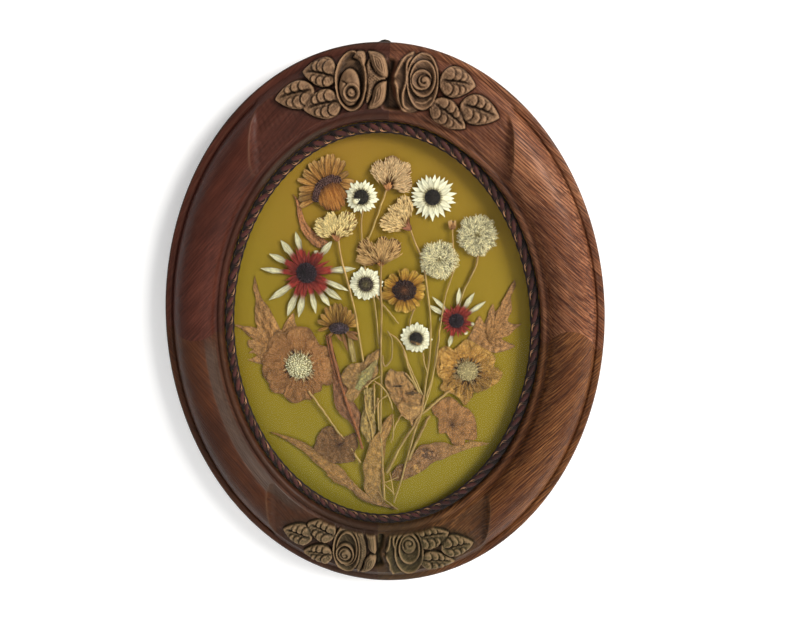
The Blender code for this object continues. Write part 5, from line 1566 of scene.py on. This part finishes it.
def make_two_edged(name, materials):
    """Long leaf of sheets between two edges, with the ribs and patches that lie on it."""
    sheets, seed = TWO_EDGED[name]
    leaf = Sculpt(name + "_blade")
    for number, (near, far, depths, tones) in enumerate(sheets):
        stops = colours((0.0, *tones[0]), (0.5, *tones[1]), (1.0, *tones[2]))
        loft_sheet(leaf, near, far, depths, stops, 0.32, 0.1 + 0.14 * number, seed + 20 * number)
    if name == "strap_leaf":
        for shift, level, radius in ((0.0, 8.3, 0.95), (-2.0, 8.0, 0.6)):
            path = smooth_path([(-36 + shift, -1, level - 0.6), (-33.5 + shift, -14, level),
                                (-30 + shift, -28, level), (-26, -42, level),
                                (-21.6 - 0.5 * shift, -57, level), (-16.6, -70, level), (-12, -86, level)],
                               2.0)
            leaf.rods(path[None], np.full((1, len(path)), radius),
                      np.broadcast_to(srgb(146, 92, 60), (1, len(path), 3)), 8)
    if name == "long_leaf_right":
        patch = colours((0.0, 104, 78, 62), (1.0, 120, 88, 66))
        petal(leaf, (30, -86), (43, -90), 3.6, (8.0, 8.3, 8.0), patch, waist=0.5, peak=0.5, crumple=0.4,
              ragged=0.3, edge=-0.2, rows=16, across=9, seed=151)
        pale = colours((0.0, 190, 148, 92), (1.0, 178, 138, 86))
        petal(leaf, (26, -97), (30, -103), 2.6, (8.0, 8.3, 8.0), pale, waist=0.6, peak=0.5, crumple=0.3,
              ragged=0.2, rows=10, across=7, seed=152)
    leaf.finish(materials, name, "dry_leaf")


STEMS = {
    # name: strands as (points from head to foot, radii at both ends, depths at head, middle and foot)
    "stem_cream": [([(-29, 67), (-27, 56), (-24, 44), (-20, 27), (-17, 15), (-15.4, 5), (-12, -18), (-8, -46),
                     (-2, -98), (3, -128)], (0.7, 0.7), (8.2, 7.4, 7.8)),
                   ([(0, -119), (4, -125), (9, -128.5), (15, -133.5)], (0.45, 0.4), (9.4, 9.6, 9.4)),
                   ([(3, -100), (4, -113), (4.6, -126)], (0.9, 0.7), (9.2, 9.4, 9.2)),
                   ([(-10, -44), (-9.4, -55), (-6, -66), (-4.4, -78)], (0.5, 0.5), (9.4, 9.2, 9.0)),
                   ([(-10, -37.5), (-4, -32), (1, -28.6)], (0.55, 0.4), (9.8, 9.9, 9.8))],
    "stem_papery_left": [([(-51, -43), (-42, -56), (-33, -69.5), (-28, -76.5)], (0.75, 0.7), (8.6, 7.8, 8.0)),
                         ([(-28, -76.5), (-23, -83), (-18.2, -90)], (0.5, 0.5), (6.7, 6.6, 6.7)),
                         ([(-18.2, -90), (-16, -93), (-13.6, -97.2)], (0.8, 0.85), (8.4, 8.6, 8.4))],
    "stem_small_white": [([(-12, 90), (-13, 73), (-11, 50), (-4, 25), (-2, 8), (0, -8)], (0.55, 0.6),
                          (8.3, 8.0, 8.0))],
    "stem_tan_top": [([(5, 104), (2.5, 98), (-2, 85), (-8.5, 67)], (0.65, 0.55), (8.2, 7.8, 7.6))],
    "stem_cream_right": [([(19.5, 77), (24, 66), (28, 56), (31, 44), (33, 30), (35, 14), (35.5, -6),
                           (34, -24), (32, -43)],
                          (0.6, 0.75), (8.4, 7.6, 8.4))],
    "stem_puff_right": [([(67, 62), (64, 50), (58, 36), (53, 20)], (0.75, 0.6), (7.8, 7.6, 7.8))],
    "stem_bud": [([(48, 77), (50, 52), (45, 30), (40, -8), (36, -38), (31, -56)], (0.5, 0.6),
                  (8.4, 8.0, 8.2)),
                 ([(42, 11), (41, -4), (38, -26), (33.4, -44)], (0.5, 0.6), (8.8, 8.6, 8.6)),
                 ([(31.5, -42), (31, -52), (27, -66), (22, -86), (17, -108), (11.6, -128)], (0.9, 0.65),
                  (8.8, 8.9, 8.8)),
                 ([(8.4, -103), (10, -112), (11.6, -121)], (0.4, 0.45), (9.6, 9.6, 9.6))],
    "stem_tan_middle": [([(0.4, 52), (1, 20), (1, -10), (1.4, -30), (1.4, -70), (3, -100), (4, -126)],
                         (0.75, 0.8), (8.6, 8.8, 8.6)),
                        ([(-3.6, -35), (-3.4, -46), (-3.2, -58)], (0.7, 0.6), (9.2, 9.2, 9.0)),
                        ([(-1.0, -46), (-0.6, -58), (0.2, -71)], (0.85, 0.75), (8.6, 8.6, 8.4)),
                        ([(2.4, -112), (8, -110), (14.4, -106.4)], (0.45, 0.35), (9.6, 9.8, 9.6)),
                        ([(4, -112.6), (8, -116), (12, -120.6)], (0.4, 0.35), (9.6, 9.8, 9.6))],
    "stem_middle_white": [([(-3, 30), (1, 24), (7, 17), (13, 9.5)], (0.7, 0.5), (8.2, 7.8, 8.0)),
                          ([(5, 3.6), (11, -0.6), (15.6, -6), (20, -18), (27, -34), (30.6, -42)], (0.5, 0.7),
                           (8.2, 8.0, 8.6)),
                          ([(17, -10), (22, -26), (28.5, -40.5)], (0.6, 0.7), (8.8, 8.8, 8.8)),
                          ([(2, -14), (4, -22), (7.6, -18), (9, -8), (8, 0), (5.4, 4)], (0.6, 0.5),
                           (8.8, 8.8, 8.6))],
    "stem_golden": [([(23.5, 20), (21.6, 14), (20.6, 8)], (0.6, 0.65), (8.2, 8.2, 8.0)),
                    ([(30.6, -11), (32, -20), (34.4, -26)], (0.5, 0.5), (8.6, 8.6, 8.4)),
                    ([(18.4, -26), (24, -33), (28.6, -40.6)], (0.6, 0.6), (8.6, 8.8, 8.6))],
    "stem_papery_right": [([(50, -38), (40, -47.5), (31, -56.5)], (0.9, 0.9), (7.8, 8.4, 8.8)),
                          ([(29.5, -56), (26, -64), (18, -78), (6, -104)], (0.8, 1.1), (9.0, 9.2, 9.0))],
    "stem_thin": [([(36, -58), (30, -72), (25, -84), (22, -93)], (0.8, 1.2), (7.9, 8.2, 7.8)),
                  ([(-3.4, -33), (3, -38), (7.6, -46), (10, -54)], (0.6, 0.5), (9.4, 9.2, 9.2)),
                  ([(-3.4, -54), (1.6, -46.6), (7, -42.4)], (0.6, 0.5), (9.4, 9.6, 9.4)),
                  ([(16, -58), (12, -66), (9, -80)], (0.6, 0.4), (8.6, 8.4, 8.4)),
                  ([(10, -58), (10.6, -68), (10.2, -78)], (0.5, 0.4), (9.2, 9.2, 9.2))],
}


def make_stem(name, materials):
    """Each strand of a stem as one slightly uneven rod."""
    stem = Sculpt(name + "_stalk")
    rng = np.random.default_rng(sum(map(ord, name)))
    for points, (thin, thick), depth in STEMS[name]:
        path = smooth_path(points, 1.5)
        s = np.linspace(0, 1, len(path))
        path = path + 0.18 * np.stack([ripple(s * 60, 0 * s, 14, 3), ripple(s * 60, 0 * s, 14, 4)], -1)
        up = np.interp(s, (0, 0.5, 1), depth)
        radii = (thin + (thick - thin) * s) * (1 + 0.1 * ripple(s * 90, 0 * s, 9.0, 5))
        tone = blend(colours((0.0, 188, 150, 98), (0.5, 188, 158, 98), (1.0, 186, 158, 98)), s)
        tone = tone * rng.uniform(0.75, 1.1) * (1 + 0.08 * ripple(s * 120, 0 * s, 12.0, 6))[:, None]
        stem.rods(np.concatenate([path, up[:, None]], 1)[None], radii[None], tone[None], 8)
    stem.finish(materials, name, "straw")


DRIED = {
    # slot: how strongly its streaks show, and its roughness, deep tone and wrinkles where not the usual ones
    "ochre_petals": {"streak": 0.34, "deep": (160, 126, 96)},
    "white_petals": {"streak": 0.12},
    "golden_petals": {"streak": 0.34, "deep": (160, 126, 90)},
    "red_petals": {"streak": 0.3, "deep": (158, 150, 130)},
    "papery_petals": {"streak": 0.26, "deep": (160, 136, 110), "wrinkle": 0.3},
    "papery_gold_petals": {"streak": 0.26, "deep": (150, 116, 84), "wrinkle": 0.4},
    "tan_tuft": {"streak": 0.2},
    "cream_tuft": {"streak": 0.18},
    "pale_tuft": {"streak": 0.12},
    "straw": {"streak": 0.3, "roughness": 0.55},
    "dry_leaf": {"streak": 0.18, "deep": (138, 112, 86), "wrinkle": 0.9},
}


def make_bouquet():
    materials = {slot: dried_material(slot, **manner) for slot, manner in DRIED.items()}
    make_ochre_daisy(materials)
    make_golden_daisy(materials)
    make_folded_daisy(materials)
    make_bud(materials)
    makers = (
        (make_white_daisy, WHITE_DAISIES), (make_red_daisy, RED_DAISIES), (make_papery, PAPERY),
        (make_tuft, TUFTS), (make_puff, PUFFS), (make_outlined, OUTLINED), (make_two_edged, TWO_EDGED),
        (make_stem, STEMS),
    )
    for maker, table in makers:
        for name in table:
            maker(name, materials)


# ---- camera, stage and lights ----

CAMERA_PLACE = (58.8, 162.5, 545.9)          # right, above and in front of the oval's centre at the back
CAMERA_RIGHT = (0.996, 0.0882, 0.01462)
CAMERA_UP = (-0.03757, 0.26448, 0.96366)
CAMERA_BACK = (0.08113, -0.96035, 0.26673)


def make_camera():
    lens = bpy.data.cameras.new("camera")
    lens.sensor_width, lens.lens = 36.0, 36.0
    lens.clip_start, lens.clip_end = 0.01, 50.0
    camera = bpy.data.objects.new("camera", lens)
    axes = Matrix((CAMERA_RIGHT, CAMERA_UP, CAMERA_BACK)).transposed()
    right, up = axes.col[0].normalized(), axes.col[1].normalized()
    back = right.cross(up).normalized()
    up = back.cross(right)
    x, z, depth = CAMERA_PLACE
    turned = Matrix((right, up, back)).transposed().to_4x4()
    camera.matrix_world = Matrix.Translation((x * MM, (BACK_Y - depth) * MM, (CENTRE_Z + z) * MM)) @ turned
    bpy.context.scene.collection.objects.link(camera)
    bpy.context.scene.camera = camera


WALL_Y = 0.0012              # metres, like the wall's half width and the floor's half width and level
WALL_HALF = 1.6
FLOOR_HALF, FLOOR_Z = 3.0, -1.1
WALL_TONE, FLOOR_TONE, STAGE_GLOW = 0.93, 0.9, 0.22
HOLE_INWARDS = 16.0          # the wall's hole is this far inside the frame's outer edge


def stage_material(name, tone, see_through_back):
    shade = Shade(name)
    cloud = shade.noise(None, 3.0, 2.0)
    colour = shade.mix(shade.span(cloud, 0.3, 0.7), rgba((tone,) * 3), rgba((tone * 0.985,) * 3))
    shade.finish(Base_Color=colour, Roughness=0.9, Specular_IOR_Level=0.1,
                 Emission_Color=(1.0, 1.0, 1.0, 1.0), Emission_Strength=STAGE_GLOW)
    if see_through_back:
        behind = shade.node("ShaderNodeNewGeometry").outputs["Backfacing"]
        clear = shade.node("ShaderNodeBsdfTransparent")
        both = shade.node("ShaderNodeMixShader", Fac=behind)
        shade.tree.links.new(shade.shader.outputs[0], both.inputs[1])
        shade.tree.links.new(clear.outputs[0], both.inputs[2])
        shade.tree.links.new(both.outputs[0], shade.output.inputs["Surface"])
    return shade.material


def make_stage():
    """Pale wall behind the frame, open from its back, with a hole that the frame covers, and a floor."""
    sides = 96
    half_x, half_z = half_axes(HOLE_INWARDS)
    turn = 2 * math.pi * np.arange(sides) / sides
    reach = WALL_HALF / np.maximum(np.abs(np.cos(turn)), np.abs(np.sin(turn)))
    inner = [(half_x * MM * math.cos(a), WALL_Y, CENTRE_Z * MM + half_z * MM * math.sin(a)) for a in turn]
    outer = [(r * math.cos(a), WALL_Y, CENTRE_Z * MM + r * math.sin(a)) for a, r in zip(turn, reach)]
    faces = [(i, (i + 1) % sides, sides + (i + 1) % sides, sides + i) for i in range(sides)]
    wall = bpy.data.meshes.new("wall")
    wall.from_pydata(inner + outer, [], faces)
    wall.materials.append(stage_material("wall_paint", WALL_TONE, True))
    floor = bpy.data.meshes.new("floor")
    corners = [(x * FLOOR_HALF, y * FLOOR_HALF, FLOOR_Z) for x, y in ((-1, -1), (1, -1), (1, 1), (-1, 1))]
    floor.from_pydata(corners, [], [(0, 1, 2, 3)])
    floor.materials.append(stage_material("floor_paint", FLOOR_TONE, False))
    for mesh in (wall, floor):
        thing = bpy.data.objects.new(mesh.name, mesh)
        bpy.context.scene.collection.objects.link(thing)
    if wall.polygons[0].normal.y > 0:
        wall.flip_normals()


KEY_PLACE = (1.35, -1.0, 0.55)               # metres: right of the frame, in front of it and above
KEY_SIDE, KEY_POWER = 0.75, 44.0
SKY_STRENGTH = 0.36


def make_lights():
    """One soft square lamp toward the oval's centre, in an even pale surround."""
    data = bpy.data.lights.new("key", "AREA")
    data.shape, data.size = "SQUARE", KEY_SIDE
    data.energy, data.color = KEY_POWER, (1.0, 0.98, 0.95)
    lamp = bpy.data.objects.new("key", data)
    lamp.location = KEY_PLACE
    toward = Vector((0.0, 0.0, CENTRE_Z * MM)) - Vector(KEY_PLACE)
    lamp.rotation_euler = toward.to_track_quat("-Z", "Y").to_euler()
    bpy.context.scene.collection.objects.link(lamp)
    world = bpy.data.worlds.new("studio")
    world.use_nodes = True
    sky = world.node_tree.nodes["Background"]
    sky.inputs["Color"].default_value = (1.0, 1.0, 1.0, 1.0)
    sky.inputs["Strength"].default_value = SKY_STRENGTH
    bpy.context.scene.world = world
    bpy.context.scene.view_settings.view_transform = "Standard"


def main():
    make_camera()
    make_stage()
    make_lights()
    for board in BOARDS:
        make_board(board)
    make_satin()
    make_braid()
    make_bouquet()
    for name, material in plain_materials().items():
        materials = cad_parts[name].data.materials
        materials.clear()
        materials.append(material)


main()
